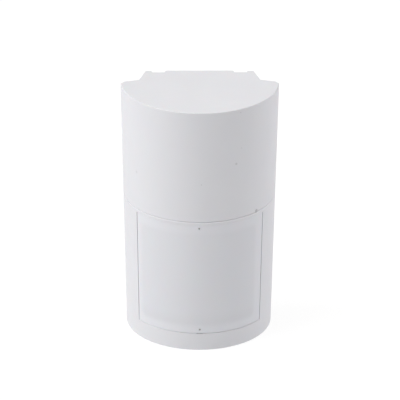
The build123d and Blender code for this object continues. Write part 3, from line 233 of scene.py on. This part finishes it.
# Camera: angles in degrees, distance and target in metres, focal length and sensor width in mm
CAMERA_PITCH = 25.0968
CAMERA_YAW = 0.8682
CAMERA_ROLL = 0.2737
CAMERA_DISTANCE = 1.92596
CAMERA_TARGET = (0.00031, FRONT_AXIS_Y * MM, 0.054483)
CAMERA_LENS = 418.4
CAMERA_SENSOR = 36.0

WHITE = (1.0, 1.0, 1.0)

# Studio: strength and colour of the light from all round, and strength of the white backdrop
WORLD_LIGHT = 0.13
WORLD_COLOUR = (0.985, 0.965, 1.0)
BACKDROP = 0.97

# Soft panels: name, azimuth (0 in front, 90 at the object's right), elevation, side in metres,
# power in watts, colour. All stand at one distance from a point in the middle of the object
PANELS = (
    ("key_left", -75, 40, 1.3, 16.6, (1.0, 0.997, 0.99)),
    ("fill_right", 108, 20, 1.2, 6.9, (0.985, 0.96, 1.0)),
    ("top", 0, 88, 1.3, 15.4, (0.992, 0.998, 0.97)),
)
PANEL_DISTANCE = 1.6
PANEL_AIM_Z = 0.054

# Floor: half its side in metres, its drop below the sensor so that the two faces never share a
# plane, its tone and how far that drifts, and its glow
FLOOR_HALF = 6.0
FLOOR_DROP = 0.05 * MM
FLOOR_TONE = 0.21
FLOOR_DRIFT = 0.01
FLOOR_GLOW = 0.84


# ---------------------------------------------------------------- materials
class Shader:
    """One node material. Patterns are placed in millimetres of the part's own frame."""

    def __init__(self, name):
        self.material = bpy.data.materials.new(name)
        self.material.use_nodes = True
        self.tree = self.material.node_tree
        self.tree.nodes.clear()
        output = self.node("ShaderNodeOutputMaterial")
        self.surface = self.node("ShaderNodeBsdfPrincipled")
        self.link(self.surface.outputs["BSDF"], output.inputs["Surface"])
        place = self.node("ShaderNodeTexCoord").outputs["Object"]
        scaled = self.node("ShaderNodeVectorMath", operation="SCALE")
        self.link(place, scaled.inputs[0])
        scaled.inputs["Scale"].default_value = 1 / MM
        self.mm = scaled.outputs["Vector"]
        split = self.node("ShaderNodeSeparateXYZ")
        self.link(self.mm, split.inputs[0])
        self.x, self.y, self.z = split.outputs

    def node(self, kind, **settings):
        made = self.tree.nodes.new(kind)
        for key, value in settings.items():
            setattr(made, key, value)
        return made

    def link(self, source, target):
        self.tree.links.new(source, target)

    def feed(self, value, socket):
        """Links a socket, or sets a plain number."""
        if isinstance(value, (int, float)):
            socket.default_value = value
        else:
            self.link(value, socket)

    def math(self, operation, a, b=0.0):
        """Result of an operation on sockets or plain numbers."""
        made = self.node("ShaderNodeMath", operation=operation)
        self.feed(a, made.inputs[0])
        self.feed(b, made.inputs[1])
        return made.outputs[0]

    def noise(self, size, detail=2.0, roughness=0.5, stretch=(1, 1, 1), distortion=0.0):
        """Noise from 0 to 1 whose features are about size millimetres across."""
        mapping = self.node("ShaderNodeMapping")
        mapping.inputs["Scale"].default_value = [s / size for s in stretch]
        self.link(self.mm, mapping.inputs["Vector"])
        made = self.node("ShaderNodeTexNoise")
        made.inputs["Scale"].default_value = 1.0
        made.inputs["Detail"].default_value = detail
        made.inputs["Roughness"].default_value = roughness
        made.inputs["Distortion"].default_value = distortion
        self.link(mapping.outputs[0], made.inputs["Vector"])
        return made.outputs["Fac"]

    def spots(self, size, radius, share):
        """1 inside a share of the round spots scattered about size millimetres apart, else 0."""
        mapping = self.node("ShaderNodeMapping")
        mapping.inputs["Scale"].default_value = [1 / size] * 3
        self.link(self.mm, mapping.inputs["Vector"])
        cells = self.node("ShaderNodeTexVoronoi")
        cells.inputs["Scale"].default_value = 1.0
        self.link(mapping.outputs[0], cells.inputs["Vector"])
        inside = self.ramp(cells.outputs["Distance"], radius / size, 0.6 * radius / size)
        split = self.node("ShaderNodeSeparateColor")
        self.link(cells.outputs["Color"], split.inputs[0])
        chosen = self.math("LESS_THAN", split.outputs[0], share)
        return self.math("MULTIPLY", inside, chosen)

    def ramp(self, value, low, high, to_low=0.0, to_high=1.0):
        """Maps low..high smoothly to to_low..to_high, clamped."""
        made = self.node("ShaderNodeMapRange", interpolation_type="SMOOTHSTEP")
        self.feed(value, made.inputs["Value"])
        made.inputs["From Min"].default_value = low
        made.inputs["From Max"].default_value = high
        made.inputs["To Min"].default_value = to_low
        made.inputs["To Max"].default_value = to_high
        return made.outputs[0]

    def mix(self, share, a, b):
        """Blend of two colours or colour sockets."""
        made = self.node("ShaderNodeMix", data_type="RGBA")
        self.feed(share, made.inputs["Factor"])
        for value, socket in ((a, made.inputs[6]), (b, made.inputs[7])):
            if isinstance(value, tuple):
                socket.default_value = (*value, 1.0)
            else:
                self.link(value, socket)
        return made.outputs[2]

    def colour(self, value):
        self.link(value, self.surface.inputs["Base Color"])

    def current_colour(self):
        """The socket that the base colour comes from so far."""
        return self.surface.inputs["Base Color"].links[0].from_socket

    def roughness(self, value):
        self.link(value, self.surface.inputs["Roughness"])

    def bump(self, height, depth_mm):
        """Adds relief on top of any earlier relief."""
        made = self.node("ShaderNodeBump")
        made.inputs["Strength"].default_value = 1.0
        made.inputs["Distance"].default_value = depth_mm * MM
        self.link(height, made.inputs["Height"])
        socket = self.surface.inputs["Normal"]
        if socket.is_linked:
            self.link(socket.links[0].from_socket, made.inputs["Normal"])
        self.link(made.outputs["Normal"], socket)

    def set(self, **values):
        """Sets plain values on the surface's own sockets. An underscore stands for a space."""
        for key, value in values.items():
            self.surface.inputs[key.replace("_", " ")].default_value = value


def tint(colour, factor):
    """The colour made paler or darker by a factor."""
    return tuple(min(1.0, c * factor) for c in colour)


def grained(shader, colour, roughness, grain_mm, depth_mm, scuffs=0.35):
    """Moulded or cast surface: drifting colour, fine grain, faint scuffs."""
    drift = shader.noise(DRIFT_SIZE, detail=3.0)
    fine = shader.noise(grain_mm, roughness=0.6)
    base = shader.mix(drift, tint(colour, 1 - DRIFT_SPREAD), tint(colour, 1 + DRIFT_SPREAD))
    scuff = shader.noise(
        SCUFF_SIZE, detail=4.0, roughness=0.7, stretch=SCUFF_STRETCH, distortion=0.6
    )
    worn = shader.ramp(scuff, *SCUFF_RANGE)
    shader.colour(shader.mix(shader.math("MULTIPLY", worn, scuffs), base, tint(colour, SCUFF_TONE)))
    cloud = shader.noise(GLOSS_SIZE)
    rough = shader.ramp(cloud, *NOISE_RANGE, roughness - GLOSS_SPREAD, roughness + GLOSS_SPREAD)
    shader.roughness(shader.math("SUBTRACT", rough, shader.math("MULTIPLY", worn, SCUFF_GLOSS)))
    shader.bump(fine, depth_mm)


def metal(shader, colour, roughness, stretch):
    """Drawn or turned metal with fine lines along one direction."""
    lines = shader.noise(METAL_LINE_SIZE, detail=3.0, stretch=stretch)
    cloud = shader.noise(TARNISH_SIZE, detail=3.0)
    shader.colour(shader.mix(cloud, *[tint(colour, factor) for factor in TARNISH_TONES]))
    down, up = METAL_GLOSS
    shader.roughness(shader.ramp(lines, *NOISE_RANGE, roughness - down, roughness + up))
    shader.bump(lines, METAL_LINE_DEPTH)
    shader.set(Metallic=1.0)


def front_angle(shader):
    """Angle round the front's axis in degrees, 0 at the front."""
    back = shader.math("SUBTRACT", FRONT_AXIS_Y, shader.y)
    return shader.math("MULTIPLY", shader.math("ARCTAN2", shader.x, back), math.degrees(1.0))


def front_arc(shader):
    """Distance round the front from its middle, in millimetres."""
    return shader.math("MULTIPLY", front_angle(shader), math.radians(FRONT_RADIUS))


def length2(shader, a, b):
    """Length of the plane vector (a, b)."""
    square = shader.math("ADD", shader.math("POWER", a, 2.0), shader.math("POWER", b, 2.0))
    return shader.math("SQRT", square)


def depth_below_front(shader):
    """How far a point lies inside the curved front's outer face, in millimetres."""
    distance = length2(shader, shader.x, shader.math("SUBTRACT", shader.y, FRONT_AXIS_Y))
    drop = shader.math("MULTIPLY", shader.math("SUBTRACT", FRONT_TOP_Z, shader.z), FRONT_DRAFT)
    return shader.math("SUBTRACT", shader.math("SUBTRACT", FRONT_RADIUS, drop), distance)


def specks(shader):
    """Dust specks on the front, as darkness from 0 to 1."""
    along = front_arc(shader)
    total = 0.0
    for angle, height, radius, strength in SPECKS:
        dx = shader.math("SUBTRACT", along, math.radians(angle * FRONT_RADIUS))
        dz = shader.math("SUBTRACT", shader.z, height)
        spot = shader.ramp(length2(shader, dx, dz), radius, 0.4 * radius, 0.0, strength)
        total = shader.math("MAXIMUM", total, spot)
    return total


def housing(shader, colour):
    """Matt moulded case with a painted highlight under the seam, specks, and scratches on its top.
    """
    grained(shader, colour, 0.52, 0.28, 0.012)
    base = shader.current_colour()
    # Painted highlight: a paler band just under the seam, where its chamfer catches the light
    below_seam = shader.math("LESS_THAN", shader.z, SEAM_Z + HALF_SEAM)
    seam_highlight_band = shader.ramp(shader.z, SEAM_Z - SEAM_HIGHLIGHT_REACH, SEAM_Z - SEAM_HIGHLIGHT_FULL)
    seam_highlighted = shader.mix(shader.math("MULTIPLY", below_seam, seam_highlight_band), base, tint(colour, SEAM_HIGHLIGHT_TONE))
    specked_and_highlighted = shader.mix(specks(shader), seam_highlighted, tint(colour, SPECK_TONE))
    on_top = shader.ramp(shader.z, FRONT_TOP_Z - 0.1, FRONT_TOP_Z)
    hair = shader.noise(0.5, detail=3.0, roughness=0.7, stretch=SCRATCH_STRETCH, distortion=0.4)
    scratched = shader.math("MULTIPLY", shader.ramp(hair, 0.64, 0.7), on_top)
    patch = shader.ramp(shader.noise(18.0, detail=1.0), 0.45, 0.62)
    faint = shader.math("MULTIPLY", shader.math("MULTIPLY", scratched, patch), SCRATCH_STRENGTH)
    shader.colour(shader.mix(faint, specked_and_highlighted, tint(colour, SCRATCH_TONE)))
    shader.set(Subsurface_Weight=0.05, Subsurface_Scale=0.5 * MM)


def rings(shader):
    """Saw-tooth rings about the middle of each facet of a grid wrapped round the front."""
    along = front_arc(shader)
    across = shader.math("FLOORED_MODULO", along, FACET_WIDTH)
    up = shader.math("FLOORED_MODULO", shader.z, FACET_HEIGHT)
    from_middle = length2(
        shader,
        shader.math("SUBTRACT", across, FACET_WIDTH / 2),
        shader.math("SUBTRACT", up, FACET_HEIGHT / 2),
    )
    return shader.math("FRACT", shader.math("DIVIDE", from_middle, RING_PITCH))


def lens(shader, colour):
    """Milky panel, a little darker where it is thin, with lens rings moulded inside."""
    along = front_arc(shader)
    up = shader.math("ABSOLUTE", shader.math("SUBTRACT", shader.z, THIN_MIDDLE_Z))
    across = shader.math("ABSOLUTE", shader.math("SUBTRACT", along, THIN_MIDDLE))
    side = shader.math("SUBTRACT", across, THIN_HALF_WIDTH - THIN_CORNER)
    end = shader.math("SUBTRACT", up, THIN_HALF_HEIGHT - THIN_CORNER)
    reach = length2(shader, shader.math("MAXIMUM", side, 0.0), shader.math("MAXIMUM", end, 0.0))
    thin = shader.ramp(reach, THIN_CORNER + THIN_FADE_OUTSIDE, THIN_CORNER - THIN_FADE_INSIDE)
    aside = shader.math("ABSOLUTE", along)
    pale = shader.ramp(aside, TONE_START, TONE_END, THIN_PALE_MIDDLE, THIN_PALE_SIDE)
    solid = shader.mix(shader.noise(16.0), *[tint(colour, factor) for factor in RIM_TONES])
    foot = shader.ramp(shader.z, FOOT_START_Z, FOOT_FULL_Z, 0.0, FOOT_STRENGTH)
    clear = shader.mix(pale, tint(colour, DARKEST_TONE), tint(colour, PALEST_TONE))
    clear = shader.mix(foot, clear, tint(colour, FOOT_TONE))
    shader.colour(shader.mix(thin, solid, clear))
    shader.roughness(shader.ramp(shader.noise(6.0), *NOISE_RANGE, 0.4, 0.48))
    inside = shader.ramp(depth_below_front(shader), *INNER_FACE_DEPTH)
    shader.bump(shader.math("MULTIPLY", rings(shader), inside), RING_DEPTH)
    shader.bump(shader.noise(0.35), 0.006)
    shader.set(Subsurface_Weight=0.1, Subsurface_Scale=0.8 * MM)


def printed_board(shader, colour):
    """Solder mask over copper tracks in patches, with plated through-holes."""
    grained(shader, colour, 0.34, 0.5, 0.004, scuffs=0.1)
    base = shader.current_colour()
    patch = shader.noise(TRACK_PATCH_SIZE, detail=0.0)
    across = shader.ramp(patch, 0.53, 0.54)
    upright = shader.ramp(patch, 0.47, 0.46)
    tracks = 0.0
    for place, share in ((shader.x, upright), (shader.z, across)):
        wave = shader.math("ABSOLUTE", shader.math("SUBTRACT", shader.math("FRACT", place), 0.5))
        line = shader.ramp(wave, *TRACK_EDGE)
        tracks = shader.math("MAXIMUM", tracks, shader.math("MULTIPLY", line, share))
    masked = shader.mix(tracks, base, tint(colour, TRACK_TONE))
    vias = shader.spots(VIA_SPACING, VIA_RADIUS, VIA_SHARE)
    shader.colour(shader.mix(vias, masked, VIA_COLOUR))
    shader.bump(tracks, TRACK_HEIGHT)


def wrapped_sleeve(shader, colour):
    """Shrink sleeve in two plain colours with a thin line between them, and no print."""
    grained(shader, colour, 0.3, 3.0, 0.02, scuffs=0.2)
    base = shader.current_colour()
    band = shader.ramp(shader.x, BAND_X, BAND_X + SLEEVE_FADE)
    starts = shader.ramp(shader.x, LINE_START_X, LINE_START_X + SLEEVE_FADE)
    ends = shader.ramp(shader.x, LINE_END_X, LINE_END_X - SLEEVE_FADE)
    two = shader.mix(band, base, BAND_COLOUR)
    shader.colour(shader.mix(shader.math("MULTIPLY", starts, ends), two, LINE_COLOUR))


def plain(roughness, grain_mm, depth_mm, **values):
    """Recipe for a grained surface with these settings."""

    def recipe(shader, colour):
        grained(shader, colour, roughness, grain_mm, depth_mm)
        shader.set(**values)

    return recipe


def metallic(roughness, stretch):
    """Recipe for a metal whose fine lines run along the axis with the smallest stretch."""

    def recipe(shader, colour):
        metal(shader, colour, roughness, stretch)

    return recipe


# Look of every material slot. plain holds roughness, then size and depth of the grain in mm
RECIPES = {
    "housing": housing,
    "lens": lens,
    "base": plain(0.55, 0.3, 0.014),
    "retainer": plain(0.5, 0.25, 0.012),
    "screw_steel": metallic(0.32, (1, 1, 1)),
    "brass": metallic(0.35, (1, 1, 0.1)),
    "board": printed_board,
    "radio_board": printed_board,
    "can_metal": metallic(0.3, (1, 1, 0.05)),
    "filter_glass": plain(0.12, 2.0, 0.001),
    "lead_metal": metallic(0.35, (1, 1, 1)),
    "foam": plain(0.9, 0.22, 0.08),
    "led": plain(0.12, 1.5, 0.002, Transmission_Weight=0.5),
    "switch_black": plain(0.5, 0.2, 0.01),
    "switch_white": plain(0.45, 0.25, 0.008),
    "spring_steel": metallic(0.28, (1, 1, 1)),
    "dip_body": plain(0.45, 0.25, 0.01),
    "copper": metallic(0.3, (1, 1, 1)),
    "chip": plain(0.6, 0.15, 0.01),
    "resistor": plain(0.4, 0.15, 0.005),
    "capacitor": plain(0.45, 0.15, 0.008),
    "capacitor_can": metallic(0.3, (1, 0.05, 1)),
    "gold_pin": metallic(0.25, (1, 0.05, 1)),
    "holder": plain(0.5, 0.25, 0.014),
    "cell_metal": metallic(0.28, (0.05, 1, 1)),
    "sleeve": wrapped_sleeve,
    "insulator": plain(0.8, 0.2, 0.02),
}


def make_materials():
    """One material per slot of the record."""
    made = {}
    for entry in frame["record"]["materials"]:
        shader = Shader(entry["slot"])
        RECIPES[entry["slot"]](shader, tuple(entry["base_color"][:3]))
        made[entry["slot"]] = shader.material
    return made


def dress_nodes(materials):
    """Gives every CAD node the material of its slot."""
    for part in frame["record"]["subparts"]:
        piece = frame["nodes"][part["node"]]
        piece.data.materials.clear()
        piece.data.materials.append(materials[part["material_slot"]])


# ---------------------------------------------------------------- added pieces
def corners_mm(node):
    """Lowest and highest corner of a CAD node, in millimetres."""
    low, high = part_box(node)
    return [v / MM for v in low], [v / MM for v in high]


def join_shapes(shapes):
    """(vertices, faces) of several shapes together."""
    verts = []
    faces = []
    for more_verts, more_faces in shapes:
        start = len(verts)
        verts += more_verts
        faces += [[index + start for index in face] for face in more_faces]
    return verts, faces


def mesh_piece(name, shapes, material, smooth=False):
    """A new piece made of shapes, each of them (vertices in millimetres, faces)."""
    verts, faces = join_shapes(shapes)
    mesh = bpy.data.meshes.new(name)
    mesh.from_pydata([[v * MM for v in vert] for vert in verts], [], faces)
    mesh.materials.append(material)
    if smooth:
        mesh.shade_smooth()
    piece = bpy.data.objects.new(name, mesh)
    bpy.context.scene.collection.objects.link(piece)
    return piece


def slab(x0, x1, y0, y1, z0, z1, bevel):
    """Block whose -Y face is drawn in by bevel on all four sides."""
    front = [(x0 + bevel, y0, z0 + bevel), (x1 - bevel, y0, z0 + bevel)]
    front += [(x1 - bevel, y0, z1 - bevel), (x0 + bevel, y0, z1 - bevel)]
    back = [(x0, y1, z0), (x1, y1, z0), (x1, y1, z1), (x0, y1, z1)]
    sides = [[i, (i + 1) % 4, (i + 1) % 4 + 4, i + 4] for i in range(4)]
    return front + back, [[3, 2, 1, 0], [4, 5, 6, 7]] + [face[::-1] for face in sides]


def turned(profile, x, z, sides):
    """Closed shape turned about an axis along Y through (x, z). profile is (radius, y) pairs."""
    verts = []
    for radius, y in profile:
        for index in range(sides):
            turn = math.tau * index / sides
            verts.append((x + radius * math.cos(turn), y, z + radius * math.sin(turn)))
    faces = []
    for ring in range(len(profile) - 1):
        for index in range(sides):
            a = ring * sides + index
            b = ring * sides + (index + 1) % sides
            faces.append([a, b, b + sides, a + sides])
    faces.append(list(range(sides))[::-1])
    faces.append([(len(profile) - 1) * sides + index for index in range(sides)])
    return verts, faces


def tube(path, radius, sides):
    """Round wire along a list of points."""
    points = [Vector(p) for p in path]
    verts = []
    for index, point in enumerate(points):
        ahead = points[min(index + 1, len(points) - 1)] - points[max(index - 1, 0)]
        turn = ahead.to_track_quat("Z", "Y")
        for side in range(sides):
            angle = math.tau * side / sides
            offset = turn @ Vector((radius * math.cos(angle), radius * math.sin(angle), 0))
            verts.append(tuple(point + offset))
    faces = []
    for ring in range(len(points) - 1):
        for side in range(sides):
            a = ring * sides + side
            b = ring * sides + (side + 1) % sides
            faces.append([a, b, b + sides, a + sides])
    faces.append(list(range(sides))[::-1])
    faces.append([(len(points) - 1) * sides + side for side in range(sides)])
    return verts, faces


def add_board_print(materials):
    """White printed outlines round the board's larger components."""
    face_y = corners_mm("circuit_board")[0][1]
    near = face_y - PRINT_PROUD
    far = face_y + SUNK
    shapes = []
    for node in OUTLINED:
        low, high = corners_mm(node)
        margin = CHIP_MARGIN if node in CHIPS else PRINT_MARGIN
        x0, x1, z0, z1 = low[0] - margin, high[0] + margin, low[2] - margin, high[2] + margin
        for left, right, bottom, top in (
            (x0, x1, z0, z0 + PRINT_WIDTH),
            (x0, x1, z1 - PRINT_WIDTH, z1),
            (x0, x0 + PRINT_WIDTH, z0, z1),
            (x1 - PRINT_WIDTH, x1, z0, z1),
        ):
            shapes.append(slab(left, right, near, far, bottom, top, PRINT_BEVEL))
    piece = mesh_piece("board_print", shapes, materials["switch_white"])
    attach(piece, "base")


def grid_places(node, inset, columns, rows):
    """Evenly spaced (x, z) places over a node, the outer ones inset from its outline."""
    low, high = corners_mm(node)
    width = high[0] - low[0] - 2 * inset
    height = high[2] - low[2] - 2 * inset
    places = []
    for column in range(columns):
        for row in range(rows):
            x = low[0] + inset + column * width / (columns - 1)
            places.append((x, low[2] + inset + row * height / (rows - 1)))
    return places


def add_solder(materials):
    """Solder cones behind the board on every lead that comes through it."""
    places = grid_places("program_pins", HEADER_PIN_INSET, 3, 2)
    # The sensor has three leads: none at the low end of its high X side
    sensor_places = grid_places("pir_sensor_leads", SENSOR_LEAD_INSET, 2, 2)
    places += sensor_places[:2] + sensor_places[3:]
    for node in ("tamper_switch", "learn_switch"):
        places += grid_places(node, SWITCH_LEG_INSET, 2, 2)
    low, high = corners_mm("crystal")
    middle = (low[2] + high[2]) / 2
    places += [(low[0] + CRYSTAL_LEG_INSET, middle), (high[0] - CRYSTAL_LEG_INSET, middle)]
    rear_y = corners_mm("circuit_board")[1][1]
    profile = [(radius, rear_y - SUNK + rise) for radius, rise in SOLDER_OUTLINE]
    shapes = [turned(profile, x, z, sides=16) for x, z in places]
    piece = mesh_piece("solder_joints", shapes, materials["lead_metal"], smooth=True)
    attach(piece, "base")


def add_antenna_feet(materials):
    """Bent ends that carry the antenna coil down to the board, with solder round their feet."""
    face_y = corners_mm("circuit_board")[0][1]
    foot = [(radius, face_y + rise) for radius, rise in FOOT_OUTLINE]
    low, high = corners_mm("antenna")
    x = high[0] - ANTENNA_WIRE_RADIUS - ANTENNA_INSET
    y = (low[1] + high[1]) / 2
    shapes = []
    for z, outward in ((low[2] + ANTENNA_WIRE_RADIUS, -1), (high[2] - ANTENNA_WIRE_RADIUS, 1)):
        path = [(x, y, z)]
        for step in range(1, ANTENNA_BEND_STEPS + 1):
            turn = step / ANTENNA_BEND_STEPS * math.pi / 2
            down = ANTENNA_BEND_DEPTH * (1 - math.cos(turn))
            path.append((x, y + down, z + outward * ANTENNA_BEND_REACH * math.sin(turn)))
        foot_z = path[-1][2]
        path.append((x, face_y + ANTENNA_END_SUNK, foot_z))
        shapes.append(tube(path, ANTENNA_WIRE_RADIUS, sides=12))
        shapes.append(turned(foot, x, foot_z, sides=16))
    piece = mesh_piece("antenna_feet", shapes, materials["copper"], smooth=True)
    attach(piece, "base")


def add_spring(materials):
    """Tamper spring with closed-up end coils."""
    low, high = corners_mm("tamper_spring")
    radius = (high[0] - low[0]) / 2 - SPRING_WIRE_RADIUS
    x = (low[0] + high[0]) / 2
    z = (low[2] + high[2]) / 2
    y0 = low[1] + SPRING_WIRE_RADIUS
    y1 = high[1] - SPRING_WIRE_RADIUS
    steps = round(SPRING_TURNS * STEPS_PER_TURN)
    path = []
    for step in range(steps + 1):
        share = step / steps
        eased = (share - SPRING_END_EASE * math.sin(math.tau * share)) * (y1 - y0)
        turn = math.tau * SPRING_TURNS * share
        path.append((x + radius * math.cos(turn), y0 + eased, z + radius * math.sin(turn)))
    shapes = [tube(path, SPRING_WIRE_RADIUS, sides=10)]
    steel = materials["spring_steel"]
    piece = mesh_piece("plunger_spring", shapes, steel, smooth=True)
    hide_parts("tamper_spring")
    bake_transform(piece)


def add_lens_hole_shades():
    """Slightly domed grey plugs in the lens's two blind holes: painted shade, standing in for the
    shade inside the holes.
    """
    shapes = []
    for x, z in LENS_HOLES:
        radius = FRONT_RADIUS - (FRONT_TOP_Z - z) * FRONT_DRAFT
        tip_y = FRONT_AXIS_Y - radius + LENS_RECESS + PLUG_DEPTH
        profile = [(plug_radius, tip_y + rise) for plug_radius, rise in PLUG_OUTLINE]
        shapes.append(turned(profile, x, z, sides=20))
    # The plugs' grey is painted shade of the holes
    shader = Shader("lens_hole_shade_grey")
    plain(0.7, 0.2, 0.01)(shader, HOLE_SHADE_COLOUR)
    piece = mesh_piece("lens_hole_shades", shapes, shader.material, smooth=True)
    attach(piece, "front_cover")


def add_can_marks(materials):
    """Dark polarity segments on the capacitor cans."""
    low, high = corners_mm("electrolytic_capacitors")
    can_radius = (high[0] - low[0]) / 2
    radius = can_radius - MARK_INSET
    x = (low[0] + high[0]) / 2
    shapes = []
    for z in (low[2] + can_radius, high[2] - can_radius):
        rim = []
        for step in range(MARK_STEPS + 1):
            turn = math.radians(MARK_START + step * MARK_SWEEP / MARK_STEPS)
            rim.append((x + radius * math.cos(turn), z + radius * math.sin(turn)))
        front = [(a, low[1] - MARK_PROUD, b) for a, b in rim]
        back = [(a, low[1] + MARK_SUNK, b) for a, b in rim]
        count = len(rim)
        sides = [[i, (i + 1) % count, (i + 1) % count + count, i + count] for i in range(count)]
        shapes.append((front + back, [list(range(count))] + sides))
    piece = mesh_piece("can_marks", shapes, materials["chip"])
    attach(piece, "base")


# ---------------------------------------------------------------- studio
def add_camera():
    """Camera in front of the object and above it, at the photograph's viewing angle."""
    pitch = math.radians(CAMERA_PITCH)
    yaw = math.radians(CAMERA_YAW)
    roll = math.radians(CAMERA_ROLL)
    level = math.cos(pitch)
    forward = Vector((math.sin(yaw) * level, math.cos(yaw) * level, -math.sin(pitch)))
    right = Vector((math.cos(yaw), -math.sin(yaw), 0.0))
    up = right.cross(forward)
    turned_right = math.cos(roll) * right + math.sin(roll) * up
    turned_up = -math.sin(roll) * right + math.cos(roll) * up
    data = bpy.data.cameras.new("camera")
    data.sensor_width = CAMERA_SENSOR
    data.lens = CAMERA_LENS
    camera = bpy.data.objects.new("camera", data)
    bpy.context.scene.collection.objects.link(camera)
    turn = Matrix((turned_right, turned_up, -forward)).transposed()
    place = Vector(CAMERA_TARGET) - forward * CAMERA_DISTANCE
    camera.matrix_world = Matrix.Translation(place) @ turn.to_4x4()
    bpy.context.scene.camera = camera


def area_light(name, azimuth, elevation, size, power, colour):
    """Soft square panel that faces the middle of the object."""
    a = math.radians(azimuth)
    e = math.radians(elevation)
    away = Vector((math.sin(a) * math.cos(e), -math.cos(a) * math.cos(e), math.sin(e)))
    data = bpy.data.lights.new(name, "AREA")
    data.shape = "SQUARE"
    data.size = size
    data.energy = power
    data.color = colour
    light = bpy.data.objects.new(name, data)
    bpy.context.scene.collection.objects.link(light)
    light.location = Vector((0, 0, PANEL_AIM_Z)) + away * PANEL_DISTANCE
    light.rotation_mode = "QUATERNION"
    light.rotation_quaternion = (-away).to_track_quat("-Z", "Y")


def add_floor():
    """Plain white paper that the sensor stands on."""
    mesh = bpy.data.meshes.new("floor")
    sides = ((-1, -1), (1, -1), (1, 1), (-1, 1))
    corners = [(x * FLOOR_HALF, y * FLOOR_HALF, -FLOOR_DROP) for x, y in sides]
    mesh.from_pydata(corners, [], [(0, 1, 2, 3)])
    floor = bpy.data.objects.new("floor", mesh)
    bpy.context.scene.collection.objects.link(floor)
    shader = Shader("floor")
    paper = shader.noise(60.0)
    darker = tint(WHITE, FLOOR_TONE - FLOOR_DRIFT)
    paler = tint(WHITE, FLOOR_TONE + FLOOR_DRIFT)
    shader.colour(shader.mix(paper, darker, paler))
    shader.set(Roughness=0.9, Emission_Color=(*WHITE, 1.0), Emission_Strength=FLOOR_GLOW)
    shader.surface.inputs["Specular IOR Level"].default_value = 0.0
    mesh.materials.append(shader.material)


def add_studio():
    """Pale backdrop, dim light from all round, three soft panels and the floor."""
    scene = bpy.context.scene
    scene.view_settings.view_transform = "Standard"
    world = bpy.data.worlds.new("studio")
    world.use_nodes = True
    tree = world.node_tree
    background = tree.nodes["Background"]
    background.inputs["Color"].default_value = (*WORLD_COLOUR, 1.0)
    background.inputs["Strength"].default_value = WORLD_LIGHT
    backdrop = tree.nodes.new("ShaderNodeBackground")
    backdrop.inputs["Strength"].default_value = BACKDROP
    backdrop.inputs["Color"].default_value = (*WHITE, 1.0)
    rays = tree.nodes.new("ShaderNodeLightPath")
    either = tree.nodes.new("ShaderNodeMixShader")
    tree.links.new(rays.outputs["Is Camera Ray"], either.inputs[0])
    tree.links.new(background.outputs[0], either.inputs[1])
    tree.links.new(backdrop.outputs[0], either.inputs[2])
    tree.links.new(either.outputs[0], tree.nodes["World Output"].inputs["Surface"])
    scene.world = world
    for panel in PANELS:
        area_light(*panel)
    add_floor()


# ---------------------------------------------------------------- build
add_camera()
add_studio()
materials = make_materials()
dress_nodes(materials)
add_board_print(materials)
add_solder(materials)
add_antenna_feet(materials)
add_spring(materials)
add_lens_hole_shades()
add_can_marks(materials)
